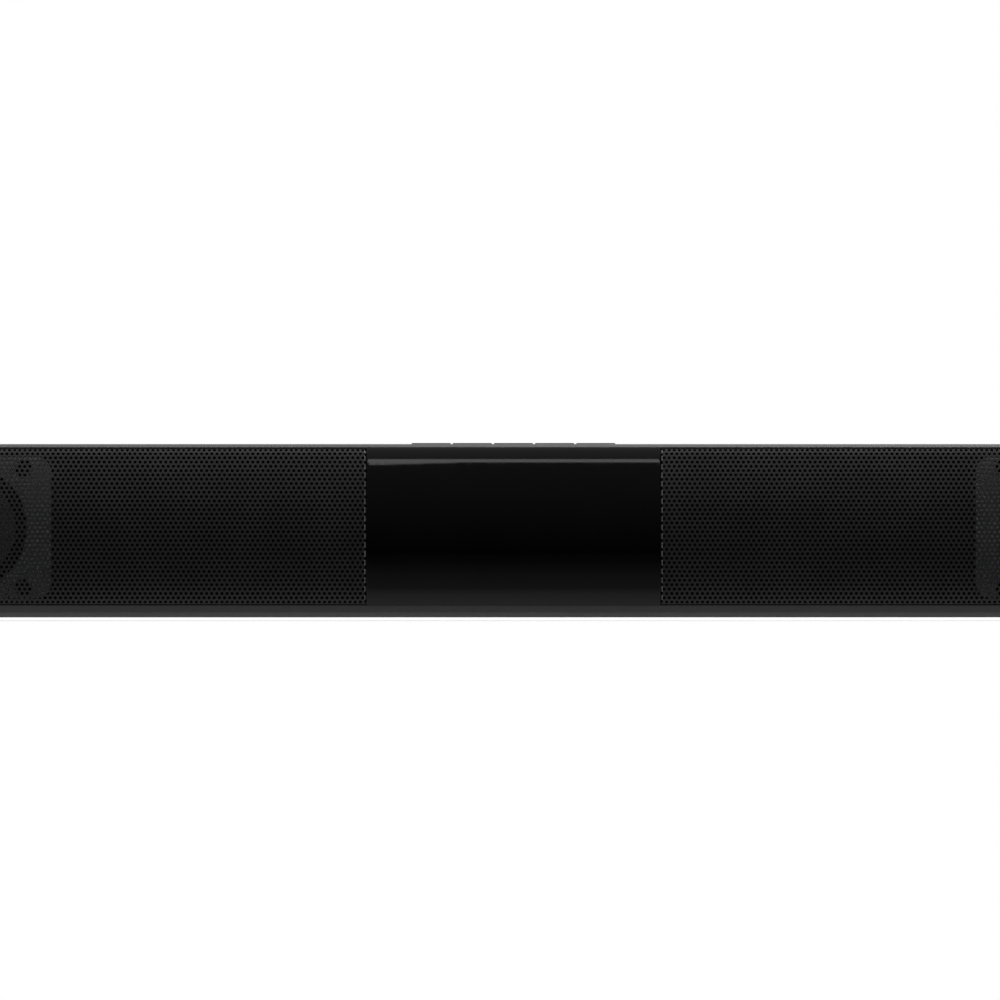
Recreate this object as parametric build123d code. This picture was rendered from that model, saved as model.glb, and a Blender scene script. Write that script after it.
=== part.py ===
from build123d import *
import os
from math import asin, cos, degrees, radians, sin, sqrt

os.makedirs("parts", exist_ok=True)

# The bar lies along X with its front towards -Y. Z runs up from the floor.
# The origin is under the middle of the bar.

# Overall sizes
BAR_LENGTH = 560.0
HOUSING_HEIGHT = 58.0
BAR_DEPTH = 62.0
WALL = 2.5
BACK_CORNER_RADIUS = 6.0
END_CAP_THICKNESS = 4.0
END_CAP_EDGE_RADIUS = 2.5

# The bowed front in section: a large arc with a tighter roll along its upper and lower edges
FACE_BOW = 4.3
CREST_HEIGHT = 21.0
TOP_ROLL_RADIUS = 6.0
BOTTOM_ROLL_RADIUS = 5.0
BOTTOM_ROLL_LIFT = 2.2
END_CAP_TOE_RADIUS = 3.0
TOP_ROLL_END = 52.0
BOTTOM_ROLL_END = 38.0
TOP_LIP_START = 56.0
TOP_LIP_THICKNESS = 1.45
TOP_LIP_REBATE = 5.0
BOTTOM_LIP_GAP = 0.1
BOTTOM_LIP_SETBACK = 2.1
BOTTOM_LIP_THICKNESS = 2.4
BOTTOM_LIP_CHAMFER_HEIGHT = 1.75
BOTTOM_LIP_CHAMFER_DEPTH = 1.1

# Grilles and centre panel
PANEL_WIDTH = 98.4
PANEL_THICKNESS = 2.0
PANEL_CHEEK = 1.8
PANEL_POST_X = 36.0
PANEL_POST_LOW = -6.0
PANEL_POST_HIGH = 24.0
GRILLE_INSET = 0.5
GRILLE_THICKNESS = 0.8
GRILLE_RETURN = 4.2
SEAM = 0.3
HOLE_PITCH = 6.88
HOLE_ACROSS = 4.4
HOLE_MARGIN = 2.6

# Loudspeakers: a flange with a stamped basket behind it
DRIVER_PITCH = 60.0
INNER_DRIVER_X = 184.5
DRIVER_LIFT = 1.0
FLANGE_FRONT = -22.0
FLANGE_WIDTH = 59.6
FLANGE_HEIGHT = 47.3
FLANGE_THICKNESS = 1.2
FLANGE_CORNER = 5.0
FLANGE_HOLE_X = 20.5
FLANGE_HOLE_Z = 20.0
OPENING_RADIUS = 21.6
BASKET_WALL = 0.8
BASKET_SHELF_DEPTH = 2.2
BASKET_DEPTH = 14.6
BASKET_NECK_RADIUS = 15.5
BASKET_HOLE_RADIUS = 9.6
BASKET_LEDGE = 1.6
BASKET_WINDOW_WIDTH = 15.0
BASKET_WINDOW_MARGIN = 1.6
BASKET_WINDOW_CORNER = 1.5
SURROUND_ROLL = 0.8
SURROUND_SKIN = 0.5
SURROUND_WIDTH = 2.7
SURROUND_LAP = 0.2
CONE_RIM = 1.3
CONE_DEPTH = 5.6
CONE_SKIN = 0.5
COIL_RADIUS = 7.0
COIL_FORMER = 0.4
COIL_WINDING = 0.5
COIL_OVERHANG = 1.5
SPIDER_SKIN = 0.4
SPIDER_LIP = 1.6
SPIDER_FOLDS = 5
SPIDER_FOLD_HEIGHT = 1.4
DUST_CAP_RADIUS = 9.0
DUST_CAP_RISE = 3.0
TOP_PLATE_THICKNESS = 3.0
TOP_PLATE_RADIUS = 17.0
MAGNET_RADIUS = 19.0
MAGNET_BORE_RADIUS = 10.5
MAGNET_THICKNESS = 8.0
YOKE_THICKNESS = 3.2
YOKE_RADIUS = 18.0
MAGNET_CHAMFER = 0.6
YOKE_CHAMFER = 0.8
VENT_RADIUS = 2.0
COIL_GAP = 0.45
GASKET_THICKNESS = 0.8
GLUE_GAP = 0.05

# Baffle that carries the loudspeakers, with posts that reach back to the housing screws
BAFFLE_THICKNESS = 3.0
BAFFLE_RIM_DEPTH = 5.0
BAFFLE_RIM = 2.0
BAFFLE_BOSS_RADIUS = 3.6
BAFFLE_BOSS_DEPTH = 5.0
POST_RADIUS = 3.6
POST_X = (75.0, 214.5)
POST_EDGE = 8.0
SCREW_SEAT_DEPTH = 12.5
SCREW_SEAT_FLOOR = 2.5
SCREW_WELL_RADIUS = 3.3
SCREW_WELL_WALL = 1.4
RIB_X = (110.0, 145.0, 184.5, 250.0)
RIB_HEIGHT = 4.0
RIB_THICKNESS = 1.5

# Screws
SCREW_RADIUS = 1.4
SCREW_HEAD_RADIUS = 2.7
SCREW_HEAD_HEIGHT = 2.0
SCREW_LENGTH = 9.0
SMALL_SCREW_RADIUS = 1.0
SMALL_SCREW_HEAD_RADIUS = 2.2
SMALL_SCREW_HEAD_HEIGHT = 1.6
SMALL_SCREW_LENGTH = 5.5

# Keys in the top, with the switches below them
KEY_COUNT = 5
KEY_LENGTH = 13.2
KEY_GAP = 0.6
KEY_DEPTH = 8.0
KEY_PROUD = 0.4
KEY_CORNER = 0.8
KEY_EDGE_RADIUS = 0.35
KEY_FLANGE_DEPTH = 10.6
KEY_FLANGE_THICKNESS = 1.0
KEY_STEM_RADIUS = 2.0
KEY_TRAVEL = 0.4
KEY_CLEARANCE = 0.35
KEY_STOP_GAP = 0.15
KEY_ROW_Y = 0.0
BUTTON_BOARD_DROP = 9.7
BUTTON_BOARD_LENGTH = 90.0
BUTTON_BOARD_DEPTH = 14.0
BUTTON_BOARD_HOLE_X = 40.0
SWITCH_SIZE = 6.0
SWITCH_HEIGHT = 3.4
SWITCH_CORNER = 0.6
PLUNGER_RADIUS = 1.6
PLUNGER_HEIGHT = 1.8
PLUNGER_SUNK = 0.8

# Main board and the sockets at the back
BOARD_THICKNESS = 1.6
BOARD_LENGTH = 92.0
BOARD_GAP = 0.5
BOARD_CORNER = 1.5
BOARD_LIFT = 10.3
BOARD_HOLE_INSET = 4.0
BOARD_BOSS_RADIUS = 3.2
PORT_WELL_LENGTH = 60.0
PORT_WELL_HEIGHT = 18.0
PORT_WELL_CORNER = 2.0
PORT_WELL_DEPTH = 8.5
PORT_WELL_WALL = 1.5
PORT_WELL_Z = 18.8
PORT_FLANGE_MARGIN = 8.0
PORT_FLANGE_HEIGHT = 24.0
PORT_FLANGE_THICKNESS = 1.2
PORT_SCREW_OFFSET = 4.5
PORT_SCREW_BITE = 1.6
DC_X = -19.0
DC_WIDTH = 9.0
DC_HEIGHT = 11.0
DC_BODY = 12.5
DC_NOSE_RADIUS = 4.0
DC_BORE_RADIUS = 3.2
DC_BORE_DEPTH = 10.8
DC_PIN_RADIUS = 1.0
DC_PIN_SETBACK = 1.0
AUX_X = 0.0
AUX_WIDTH = 8.0
AUX_HEIGHT = 7.0
AUX_BODY = 13.4
AUX_NOSE_RADIUS = 3.0
AUX_BORE_RADIUS = 1.8
AUX_BORE_DEPTH = 14.0
USB_X = 18.5
USB_WIDTH = 13.2
USB_HEIGHT = 5.8
USB_SHELL = 0.5
USB_BODY = 13.5
USB_TONGUE_WIDTH = 11.2
USB_TONGUE_THICKNESS = 1.8
USB_TONGUE_GAP = 0.4
USB_TONGUE_SETBACK = 1.5
USB_CORNER = 0.7
USB_BACK_WALL = 1.0
SOCKET_NOSE = 2.1
HEAT_SINK_LENGTH = 30.0
HEAT_SINK_DEPTH = 16.0
HEAT_SINK_HEIGHT = 16.0
HEAT_SINK_BASE = 3.0
HEAT_SINK_FINS = 6
HEAT_SINK_FIN = 1.6
HEAT_SINK_X = -14.0
PART_GAP = 0.4
CAPACITOR_RADIUS = 4.0
CAPACITOR_HEIGHT = 12.5
CAPACITOR_X = (16.0, 28.0)
CAPACITOR_PITCH = 8.2
CAPACITOR_EDGE_RADIUS = 0.5

# Keyholes for hanging on two wall screws, and the rubber feet
KEYHOLE_SPACING = 320.0
KEYHOLE_HEIGHT = 36.0
KEYHOLE_ENTRY_RADIUS = 4.5
KEYHOLE_SLOT_WIDTH = 5.0
KEYHOLE_SLOT_LENGTH = 9.0
FOOT_PROUD = 1.2
FOOT_RECESS = 0.8
FOOT_LENGTH = 36.0
FOOT_WIDTH = 10.0
FOOT_EDGE_RADIUS = 0.5
FOOT_X = 222.0
FOOT_Y = 18.0

# End cap spigots that slide into the housing, with snaps
SPIGOT_DEPTH = 7.0
SPIGOT_WALL = 1.8
SPIGOT_FRONT = -7.0
SNAP_LENGTH = 12.0
SNAP_HEIGHT = 0.7
SNAP_WIDTH = 2.0

# Clearances
FIT = 0.2
SCREW_FIT = 0.1
BASKET_FIT = 0.3

# Worked-out places
BOTTOM = FOOT_PROUD
TOP = BOTTOM + HOUSING_HEIGHT
BACK = BAR_DEPTH / 2
FRONT = -BAR_DEPTH / 2
CREST_Z = BOTTOM + CREST_HEIGHT
FACE_RISE = TOP - CREST_Z - TOP_ROLL_RADIUS
FACE_RADIUS = TOP_ROLL_RADIUS + (FACE_RISE**2 + FACE_BOW**2) / (2 * FACE_BOW)
FACE_CENTRE_Y = FRONT + FACE_RADIUS
HOUSING_HALF = BAR_LENGTH / 2 - END_CAP_THICKNESS
INSIDE_TOP = TOP - WALL
INSIDE_BOTTOM = BOTTOM + WALL
INSIDE_BACK = BACK - WALL
DRIVER_Z = BOTTOM + HOUSING_HEIGHT / 2 + DRIVER_LIFT
FLANGE_BACK = FLANGE_FRONT + FLANGE_THICKNESS
BAFFLE_FRONT = FLANGE_BACK + GASKET_THICKNESS
BAFFLE_BACK = BAFFLE_FRONT + BAFFLE_THICKNESS
BASKET_RADIUS = OPENING_RADIUS + BASKET_WALL
CONE_RADIUS = OPENING_RADIUS - SURROUND_WIDTH
SHELF_FRONT = FLANGE_BACK + BASKET_SHELF_DEPTH
BASKET_BACK = FLANGE_BACK + BASKET_DEPTH
SEAT_Y = BACK - SCREW_SEAT_DEPTH
POST_END = SEAT_Y - SCREW_SEAT_FLOOR
POST_ROWS = (BOTTOM + POST_EDGE, TOP - POST_EDGE)
BOARD_UNDER = INSIDE_BOTTOM + BOARD_LIFT
BOARD_TOP = BOARD_UNDER + BOARD_THICKNESS
WELL_FLOOR = INSIDE_BACK - PORT_WELL_DEPTH
WELL_Z = BOTTOM + PORT_WELL_Z
BOARD_FRONT = BAFFLE_BACK + BAFFLE_RIM_DEPTH
BOARD_BACK = WELL_FLOOR - PORT_WELL_WALL - BOARD_GAP
PORT_FLANGE_LENGTH = PORT_WELL_LENGTH + 2 * PORT_FLANGE_MARGIN
PORT_SCREW_X = PORT_WELL_LENGTH / 2 + PORT_SCREW_OFFSET
SOCKET_FRONT = WELL_FLOOR - PORT_WELL_WALL - FIT
SOCKET_MOUTH = SOCKET_FRONT + SOCKET_NOSE
HEAT_SINK_Y = SOCKET_FRONT - AUX_BODY - PART_GAP - HEAT_SINK_DEPTH / 2
CAPACITOR_BACK = SOCKET_FRONT - USB_BODY - PART_GAP - CAPACITOR_RADIUS
CAPACITOR_Y = (CAPACITOR_BACK - CAPACITOR_PITCH, CAPACITOR_BACK)
BUTTON_BOARD_TOP = INSIDE_TOP - BUTTON_BOARD_DROP
BUTTON_BOARD_UNDER = BUTTON_BOARD_TOP - BOARD_THICKNESS
SWITCH_TOP = BUTTON_BOARD_TOP + SWITCH_HEIGHT
PLUNGER_TOP = SWITCH_TOP + PLUNGER_HEIGHT - PLUNGER_SUNK
KEY_PITCH = KEY_LENGTH + KEY_GAP
KEY_ROW_LENGTH = KEY_COUNT * KEY_PITCH - KEY_GAP
KEY_FLANGE_TOP = INSIDE_TOP - KEY_STOP_GAP
KEY_X = [(i - (KEY_COUNT - 1) / 2) * KEY_PITCH for i in range(KEY_COUNT)]
OUTER_DRIVER_X = INNER_DRIVER_X + DRIVER_PITCH
DRIVERS = {
    "left_outer": -OUTER_DRIVER_X,
    "left_inner": -INNER_DRIVER_X,
    "right_inner": INNER_DRIVER_X,
    "right_outer": OUTER_DRIVER_X,
}
KEYS = ("power", "volume_down", "play", "volume_up", "source")


# Helpers
def region(*lines):
    """Face inside lines and arcs that join end to end."""
    return make_face([edge for line in lines for edge in line.edges()])


def along_x(face, x_from, x_to):
    """Solid from a face drawn in Y and Z, between two places along the bar."""
    return extrude(Plane.YZ.offset(x_from) * face, amount=x_to - x_from)


def along_y(face, y_front, y_back):
    """Solid from a face drawn in X and Z, between two depths."""
    return extrude(Plane.XZ.offset(-y_back) * face, amount=y_back - y_front)


def along_z(face, z_low, z_high):
    """Solid from a face drawn in X and Y, between two heights."""
    return extrude(Plane.XY.offset(z_low) * face, amount=z_high - z_low)


def turned(*points):
    """Solid turned about Y from points given as radius and depth."""
    return revolve(region(Polyline(*points, close=True)), Axis.Y)


def disc_y(x, z, radius, y_front, y_back):
    """Round bar along Y."""
    return along_y(Pos(x, z) * Circle(radius), y_front, y_back)


def disc_z(x, y, radius, z_low, z_high):
    """Round bar along Z."""
    return along_z(Pos(x, y) * Circle(radius), z_low, z_high)


def save(name, *solids):
    """Writes a node, as one solid or as a group of separate ones."""
    shapes = [solid for part in solids for solid in part.solids()]
    export_step(shapes[0] if len(shapes) == 1 else Compound(children=shapes), f"parts/{name}.step")


def roll_slope(rise, radius):
    """Slope at which the face arc meets an edge roll that comes level after the rise."""
    return degrees(asin((rise - radius) / (FACE_RADIUS - radius)))


def roll_centre(radius, slope):
    """Centre of an edge roll that leaves the face arc at the slope."""
    reach = FACE_RADIUS - radius
    return (FACE_CENTRE_Y - reach * cos(radians(slope)), CREST_Z + reach * sin(radians(slope)))


BOTTOM_FOLD_Z = BOTTOM + BOTTOM_ROLL_LIFT + BOTTOM_ROLL_RADIUS * (1 - sin(radians(BOTTOM_ROLL_END)))
TOP_SLOPE = roll_slope(TOP - CREST_Z, TOP_ROLL_RADIUS)
TOP_ROLL_CENTRE = roll_centre(TOP_ROLL_RADIUS, TOP_SLOPE)


def front_line(inset, top_end, bottom_end, bottom_level, bottom_radius):
    """Three tangent arcs of the bowed front from its top down, set in from the show surface."""
    slope = roll_slope(CREST_Z - bottom_level, bottom_radius)
    top_roll = CenterArc(
        TOP_ROLL_CENTRE, TOP_ROLL_RADIUS - inset, 180 - top_end, top_end - TOP_SLOPE
    )
    face = CenterArc(
        (FACE_CENTRE_Y, CREST_Z), FACE_RADIUS - inset, 180 - TOP_SLOPE, TOP_SLOPE + slope
    )
    bottom_roll = CenterArc(
        roll_centre(bottom_radius, -slope), bottom_radius - inset, 180 + slope, bottom_end - slope
    )
    return [top_roll, face, bottom_roll]


def cover_line(inset, top_end=TOP_ROLL_END, bottom_end=BOTTOM_ROLL_END):
    """The front of the grilles and the centre panel."""
    level = BOTTOM + BOTTOM_ROLL_LIFT
    return front_line(inset, top_end, bottom_end, level, BOTTOM_ROLL_RADIUS)


def fold_end(radius, end, thickness):
    """Angle where the inside of a sheet meets a level fold at the end of a roll."""
    return degrees(asin((radius * sin(radians(end)) - thickness) / (radius - thickness)))


def screw(radius, head_radius, head_height, length):
    """Pan-head screw along Y, its head towards -Y and seated at the origin."""
    crown = head_height * 0.45
    body = turned(
        (0, -head_height),
        (head_radius * 0.6, -head_height),
        (head_radius, -crown),
        (head_radius, 0),
        (radius, 0),
        (radius, length - radius),
        (0, length),
    )
    slot = Pos(0, -head_height, 0) * Box(head_radius * 1.1, head_height * 0.9, 0.7)
    return body - slot - Rot(0, 90, 0) * slot


DRIVER_SCREW = screw(SCREW_RADIUS, SCREW_HEAD_RADIUS, SCREW_HEAD_HEIGHT, SCREW_LENGTH)
SMALL_SCREW = screw(
    SMALL_SCREW_RADIUS, SMALL_SCREW_HEAD_RADIUS, SMALL_SCREW_HEAD_HEIGHT, SMALL_SCREW_LENGTH
)
FLANGE_HOLES = [(x, z) for x in (-FLANGE_HOLE_X, FLANGE_HOLE_X) for z in (-FLANGE_HOLE_Z, FLANGE_HOLE_Z)]
DRIVER_HOLES = [(x + dx, DRIVER_Z + dz) for x in DRIVERS.values() for dx, dz in FLANGE_HOLES]
POSTS = [(side * x, z) for side in (-1, 1) for x in POST_X for z in POST_ROWS]
FEET = {
    "front_left": (-FOOT_X, -FOOT_Y),
    "front_right": (FOOT_X, -FOOT_Y),
    "back_left": (-FOOT_X, FOOT_Y),
    "back_right": (FOOT_X, FOOT_Y),
}
BOARD_HOLES = [
    (x, y)
    for x in (BOARD_HOLE_INSET - BOARD_LENGTH / 2, BOARD_LENGTH / 2 - BOARD_HOLE_INSET)
    for y in (BOARD_FRONT + BOARD_HOLE_INSET, BOARD_BACK - BOARD_HOLE_INSET)
]
PANEL_POSTS = [
    (x, CREST_Z + z)
    for x in (-PANEL_POST_X, PANEL_POST_X)
    for z in (PANEL_POST_LOW, PANEL_POST_HIGH)
]


# Rear housing: one moulded channel that makes the top, back and bottom
def housing_section():
    """The channel's wall in section, with the lips that frame the front."""
    lip_start = radians(TOP_LIP_START)
    lip_y = TOP_ROLL_CENTRE[0] - TOP_ROLL_RADIUS * cos(lip_start)
    lip_z = TOP_ROLL_CENTRE[1] + TOP_ROLL_RADIUS * sin(lip_start)
    toe = FRONT + BOTTOM_LIP_SETBACK
    lip_top = BOTTOM_FOLD_Z - BOTTOM_LIP_GAP
    corner = BACK_CORNER_RADIUS
    inner = corner - WALL
    edge = BACK - corner
    under_lip = TOP - TOP_LIP_THICKNESS
    rebate = lip_y + TOP_LIP_REBATE
    return region(
        CenterArc(TOP_ROLL_CENTRE, TOP_ROLL_RADIUS, 90, 90 - TOP_LIP_START),
        Line((TOP_ROLL_CENTRE[0], TOP), (edge, TOP)),
        CenterArc((edge, TOP - corner), corner, 0, 90),
        Line((BACK, TOP - corner), (BACK, BOTTOM + corner)),
        CenterArc((edge, BOTTOM + corner), corner, 270, 90),
        Polyline(
            (edge, BOTTOM),
            (toe + BOTTOM_LIP_CHAMFER_DEPTH, BOTTOM),
            (toe, BOTTOM + BOTTOM_LIP_CHAMFER_HEIGHT),
            (toe, lip_top),
            (toe + BOTTOM_LIP_THICKNESS, lip_top),
            (toe + BOTTOM_LIP_THICKNESS, INSIDE_BOTTOM),
            (edge, INSIDE_BOTTOM),
        ),
        CenterArc((edge, INSIDE_BOTTOM + inner), inner, 270, 90),
        Line((INSIDE_BACK, INSIDE_BOTTOM + inner), (INSIDE_BACK, INSIDE_TOP - inner)),
        CenterArc((edge, INSIDE_TOP - inner), inner, 0, 90),
        Polyline(
            (edge, INSIDE_TOP),
            (rebate, INSIDE_TOP),
            (rebate, under_lip),
            (lip_y, under_lip),
            (lip_y, lip_z),
        ),
    )


def housing_rib(x):
    """Stiffening rib round the inside of the channel."""
    outer = Rectangle(INSIDE_BACK - SPIGOT_FRONT, INSIDE_TOP - INSIDE_BOTTOM)
    inner = Rectangle(INSIDE_BACK - SPIGOT_FRONT, INSIDE_TOP - INSIDE_BOTTOM - 2 * RIB_HEIGHT)
    middle = Pos((INSIDE_BACK + SPIGOT_FRONT) / 2, (INSIDE_TOP + INSIDE_BOTTOM) / 2)
    ring = middle * (outer - Pos(-RIB_HEIGHT, 0) * inner)
    corner = BACK_CORNER_RADIUS - WALL
    keep = middle * RectangleRounded(
        INSIDE_BACK - SPIGOT_FRONT, INSIDE_TOP - INSIDE_BOTTOM, corner
    )
    return along_x(ring & keep, x - RIB_THICKNESS / 2, x + RIB_THICKNESS / 2)


def keyhole(x):
    """Entry hole with a narrower slot above it, for a wall screw."""
    entry = Circle(KEYHOLE_ENTRY_RADIUS)
    slot = Pos(0, KEYHOLE_SLOT_LENGTH / 2) * Rectangle(KEYHOLE_SLOT_WIDTH, KEYHOLE_SLOT_LENGTH)
    end = Pos(0, KEYHOLE_SLOT_LENGTH) * Circle(KEYHOLE_SLOT_WIDTH / 2)
    face = Pos(x, BOTTOM + KEYHOLE_HEIGHT) * (entry + slot + end)
    return along_y(face, INSIDE_BACK - WALL, BACK + WALL)


def port_opening(grow):
    """Outline of the socket well, grown by an amount on every side."""
    return Pos(0, WELL_Z) * RectangleRounded(
        PORT_WELL_LENGTH + 2 * grow, PORT_WELL_HEIGHT + 2 * grow, PORT_WELL_CORNER + grow
    )


def snap_places(side):
    """Corners of the end cap snaps, in the top and bottom walls."""
    x = side * (HOUSING_HALF - SPIGOT_DEPTH + SNAP_WIDTH)
    y = (SPIGOT_FRONT + INSIDE_BACK) / 2
    return [(x, y, INSIDE_TOP - FIT, 1), (x, y, INSIDE_BOTTOM + FIT, -1)]


housing = along_x(housing_section(), -HOUSING_HALF, HOUSING_HALF)
housing += [housing_rib(side * x) for side in (-1, 1) for x in RIB_X]
well_outer = SCREW_WELL_RADIUS + SCREW_WELL_WALL
housing += [disc_y(x, z, well_outer, POST_END, INSIDE_BACK + WALL / 2) for x, z in POSTS]
housing += [
    disc_z(x, y, BOARD_BOSS_RADIUS, INSIDE_BOTTOM - WALL / 2, BOARD_UNDER) for x, y in BOARD_HOLES
]
housing += [
    disc_z(x, KEY_ROW_Y, BOARD_BOSS_RADIUS, BUTTON_BOARD_TOP, INSIDE_TOP + WALL / 2)
    for x in (-BUTTON_BOARD_HOLE_X, BUTTON_BOARD_HOLE_X)
]
hole = SCREW_RADIUS + SCREW_FIT
small_hole = SMALL_SCREW_RADIUS + SCREW_FIT
housing -= [disc_y(x, z, SCREW_WELL_RADIUS, SEAT_Y, BACK + WALL) for x, z in POSTS]
housing -= [disc_y(x, z, hole, POST_END - WALL, BACK) for x, z in POSTS]
housing -= [
    disc_z(x, y, small_hole, BOARD_UNDER - SMALL_SCREW_LENGTH, BOARD_UNDER) for x, y in BOARD_HOLES
]
housing -= [
    disc_z(x, KEY_ROW_Y, small_hole, BUTTON_BOARD_TOP, BUTTON_BOARD_TOP + SMALL_SCREW_LENGTH)
    for x in (-BUTTON_BOARD_HOLE_X, BUTTON_BOARD_HOLE_X)
]
key_slot = RectangleRounded(
    KEY_ROW_LENGTH + 2 * KEY_CLEARANCE, KEY_DEPTH + 2 * KEY_CLEARANCE, KEY_CORNER + KEY_CLEARANCE
)
housing -= along_z(Pos(0, KEY_ROW_Y) * key_slot, INSIDE_TOP - WALL, TOP + WALL)
housing -= along_y(port_opening(0), INSIDE_BACK - WALL, BACK + WALL)
housing -= [
    disc_y(x, WELL_Z, small_hole, INSIDE_BACK - WALL, INSIDE_BACK + PORT_SCREW_BITE)
    for x in (-PORT_SCREW_X, PORT_SCREW_X)
]
housing -= [keyhole(side * KEYHOLE_SPACING / 2) for side in (-1, 1)]
foot_recess = SlotOverall(FOOT_LENGTH + 2 * FIT, FOOT_WIDTH + 2 * FIT)
housing -= [
    along_z(Pos(x, y) * foot_recess, BOTTOM - WALL, BOTTOM + FOOT_RECESS) for x, y in FEET.values()
]
for side in (-1, 1):
    for x, y, z, way in snap_places(side):
        pocket = Box(SNAP_WIDTH + 4 * FIT, SNAP_LENGTH + 2 * FIT, 2 * (SNAP_HEIGHT + 2 * FIT))
        housing -= Pos(x, y, z) * pocket
save("rear_housing", housing)


# End caps, with a spigot that slides into the channel
def end_cap(side):
    """Cap for the end on the given side."""
    front = front_line(0, 90, 90, BOTTOM, END_CAP_TOE_RADIUS)
    corner = BACK_CORNER_RADIUS
    edge = BACK - corner
    outline = region(
        *front,
        Line(front[-1] @ 1, (edge, BOTTOM)),
        CenterArc((edge, BOTTOM + corner), corner, 270, 90),
        Line((BACK, BOTTOM + corner), (BACK, TOP - corner)),
        CenterArc((edge, TOP - corner), corner, 0, 90),
        Line((edge, TOP), front[0] @ 0),
    )
    cap = along_x(outline, HOUSING_HALF, BAR_LENGTH / 2)
    cap = fillet(cap.faces().sort_by(Axis.X)[-1].edges(), END_CAP_EDGE_RADIUS)
    length = INSIDE_BACK - SPIGOT_FRONT - FIT
    height = INSIDE_TOP - INSIDE_BOTTOM - 2 * FIT
    radius = corner - WALL - FIT
    ring = RectangleRounded(length, height, radius)
    ring -= RectangleRounded(
        length - 2 * SPIGOT_WALL, height - 2 * SPIGOT_WALL, radius - SPIGOT_WALL / 2
    )
    middle = Pos(SPIGOT_FRONT + length / 2, (INSIDE_TOP + INSIDE_BOTTOM) / 2)
    cap += along_x(middle * ring, HOUSING_HALF - SPIGOT_DEPTH, HOUSING_HALF + WALL)
    for x, y, z, way in snap_places(1):
        snap = Pos(x, y, z) * Box(SNAP_WIDTH, SNAP_LENGTH, 2 * SNAP_HEIGHT)
        cap += chamfer(snap.edges().filter_by(Axis.Y).group_by(Axis.X)[0], SNAP_HEIGHT * 0.8)
    return cap if side > 0 else mirror(cap, Plane.YZ)


save("end_cap_right", end_cap(1))
save("end_cap_left", end_cap(-1))


# Front covers: a perforated sheet on each side of the gloss panel, folded level with its bottom edge
GRILLE_BOTTOM_END = degrees(
    asin(BOTTOM_ROLL_RADIUS * sin(radians(BOTTOM_ROLL_END)) / (BOTTOM_ROLL_RADIUS - GRILLE_INSET))
)


def grille_section():
    """Folded sheet with a level return along its top and bottom."""
    outer = cover_line(GRILLE_INSET, TOP_ROLL_END, GRILLE_BOTTOM_END)
    inner = cover_line(
        GRILLE_INSET + GRILLE_THICKNESS,
        fold_end(TOP_ROLL_RADIUS - GRILLE_INSET, TOP_ROLL_END, GRILLE_THICKNESS),
        fold_end(BOTTOM_ROLL_RADIUS - GRILLE_INSET, GRILLE_BOTTOM_END, GRILLE_THICKNESS),
    )
    top, bottom = outer[0] @ 0, outer[-1] @ 1
    back = Vector(GRILLE_RETURN, 0)
    return region(
        *outer,
        *inner,
        Polyline(top, top + back, top + back - (0, GRILLE_THICKNESS), inner[0] @ 0),
        Polyline(bottom, bottom + back, bottom + back + (0, GRILLE_THICKNESS), inner[-1] @ 1),
    )


GRILLE_START = PANEL_WIDTH / 2 + SEAM
GRILLE_END = HOUSING_HALF - SEAM


def grille_holes():
    """Staggered six-sided holes over the face of the right-hand grille."""
    row_pitch = HOLE_PITCH * sin(radians(60))
    hole = RegularPolygon(HOLE_ACROSS / 2, 6, major_radius=False)
    low = BOTTOM_FOLD_Z + HOLE_MARGIN + HOLE_ACROSS / 2
    high = (cover_line(GRILLE_INSET)[0] @ 0).Y - HOLE_MARGIN - HOLE_ACROSS / 2
    left = GRILLE_START + HOLE_MARGIN + HOLE_ACROSS / 2
    right = GRILLE_END - HOLE_MARGIN - HOLE_ACROSS / 2
    rows = int((high - low) / row_pitch) + 1
    columns = int((right - left) / HOLE_PITCH - 0.5) + 1
    x_start = (left + right - (columns - 0.5) * HOLE_PITCH) / 2
    z_start = (low + high - (rows - 1) * row_pitch) / 2
    places = [
        (x_start + (column + row % 2 / 2) * HOLE_PITCH + HOLE_PITCH / 4, z_start + row * row_pitch)
        for row in range(rows)
        for column in range(columns)
    ]
    return [along_y(Pos(x, z) * hole, FRONT - WALL, FLANGE_FRONT) for x, z in places]


grille = along_x(grille_section(), GRILLE_START, GRILLE_END) - grille_holes()
save("grille_right", grille)
save("grille_left", mirror(grille, Plane.YZ))


# Gloss centre panel, with cheeks and screw posts that stand on the baffle
def panel_section(inset, seat):
    """Region between the panel's inside and the baffle."""
    line = cover_line(inset)
    top, bottom = line[0] @ 0, line[-1] @ 1
    return region(*line, Polyline(top, (seat, top.Y), (seat, bottom.Y), bottom))


skin_outer = cover_line(0)
skin_inner = cover_line(PANEL_THICKNESS)
skin = region(
    *skin_outer,
    *skin_inner,
    Line(skin_outer[0] @ 0, skin_inner[0] @ 0),
    Line(skin_outer[-1] @ 1, skin_inner[-1] @ 1),
)
panel = along_x(skin, -PANEL_WIDTH / 2, PANEL_WIDTH / 2)
cheek = panel_section(PANEL_THICKNESS / 2, BAFFLE_FRONT)
panel += along_x(cheek, -PANEL_WIDTH / 2, -PANEL_WIDTH / 2 + PANEL_CHEEK)
panel += along_x(cheek, PANEL_WIDTH / 2 - PANEL_CHEEK, PANEL_WIDTH / 2)
solid_front = along_x(cheek, -PANEL_WIDTH / 2, PANEL_WIDTH / 2)
for x, z in PANEL_POSTS:
    panel += disc_y(x, z, BAFFLE_BOSS_RADIUS, FRONT, BAFFLE_FRONT) & solid_front
    panel -= disc_y(x, z, hole, BAFFLE_FRONT - (SCREW_LENGTH - BAFFLE_THICKNESS), BAFFLE_FRONT)
save("centre_panel", panel)

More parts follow.
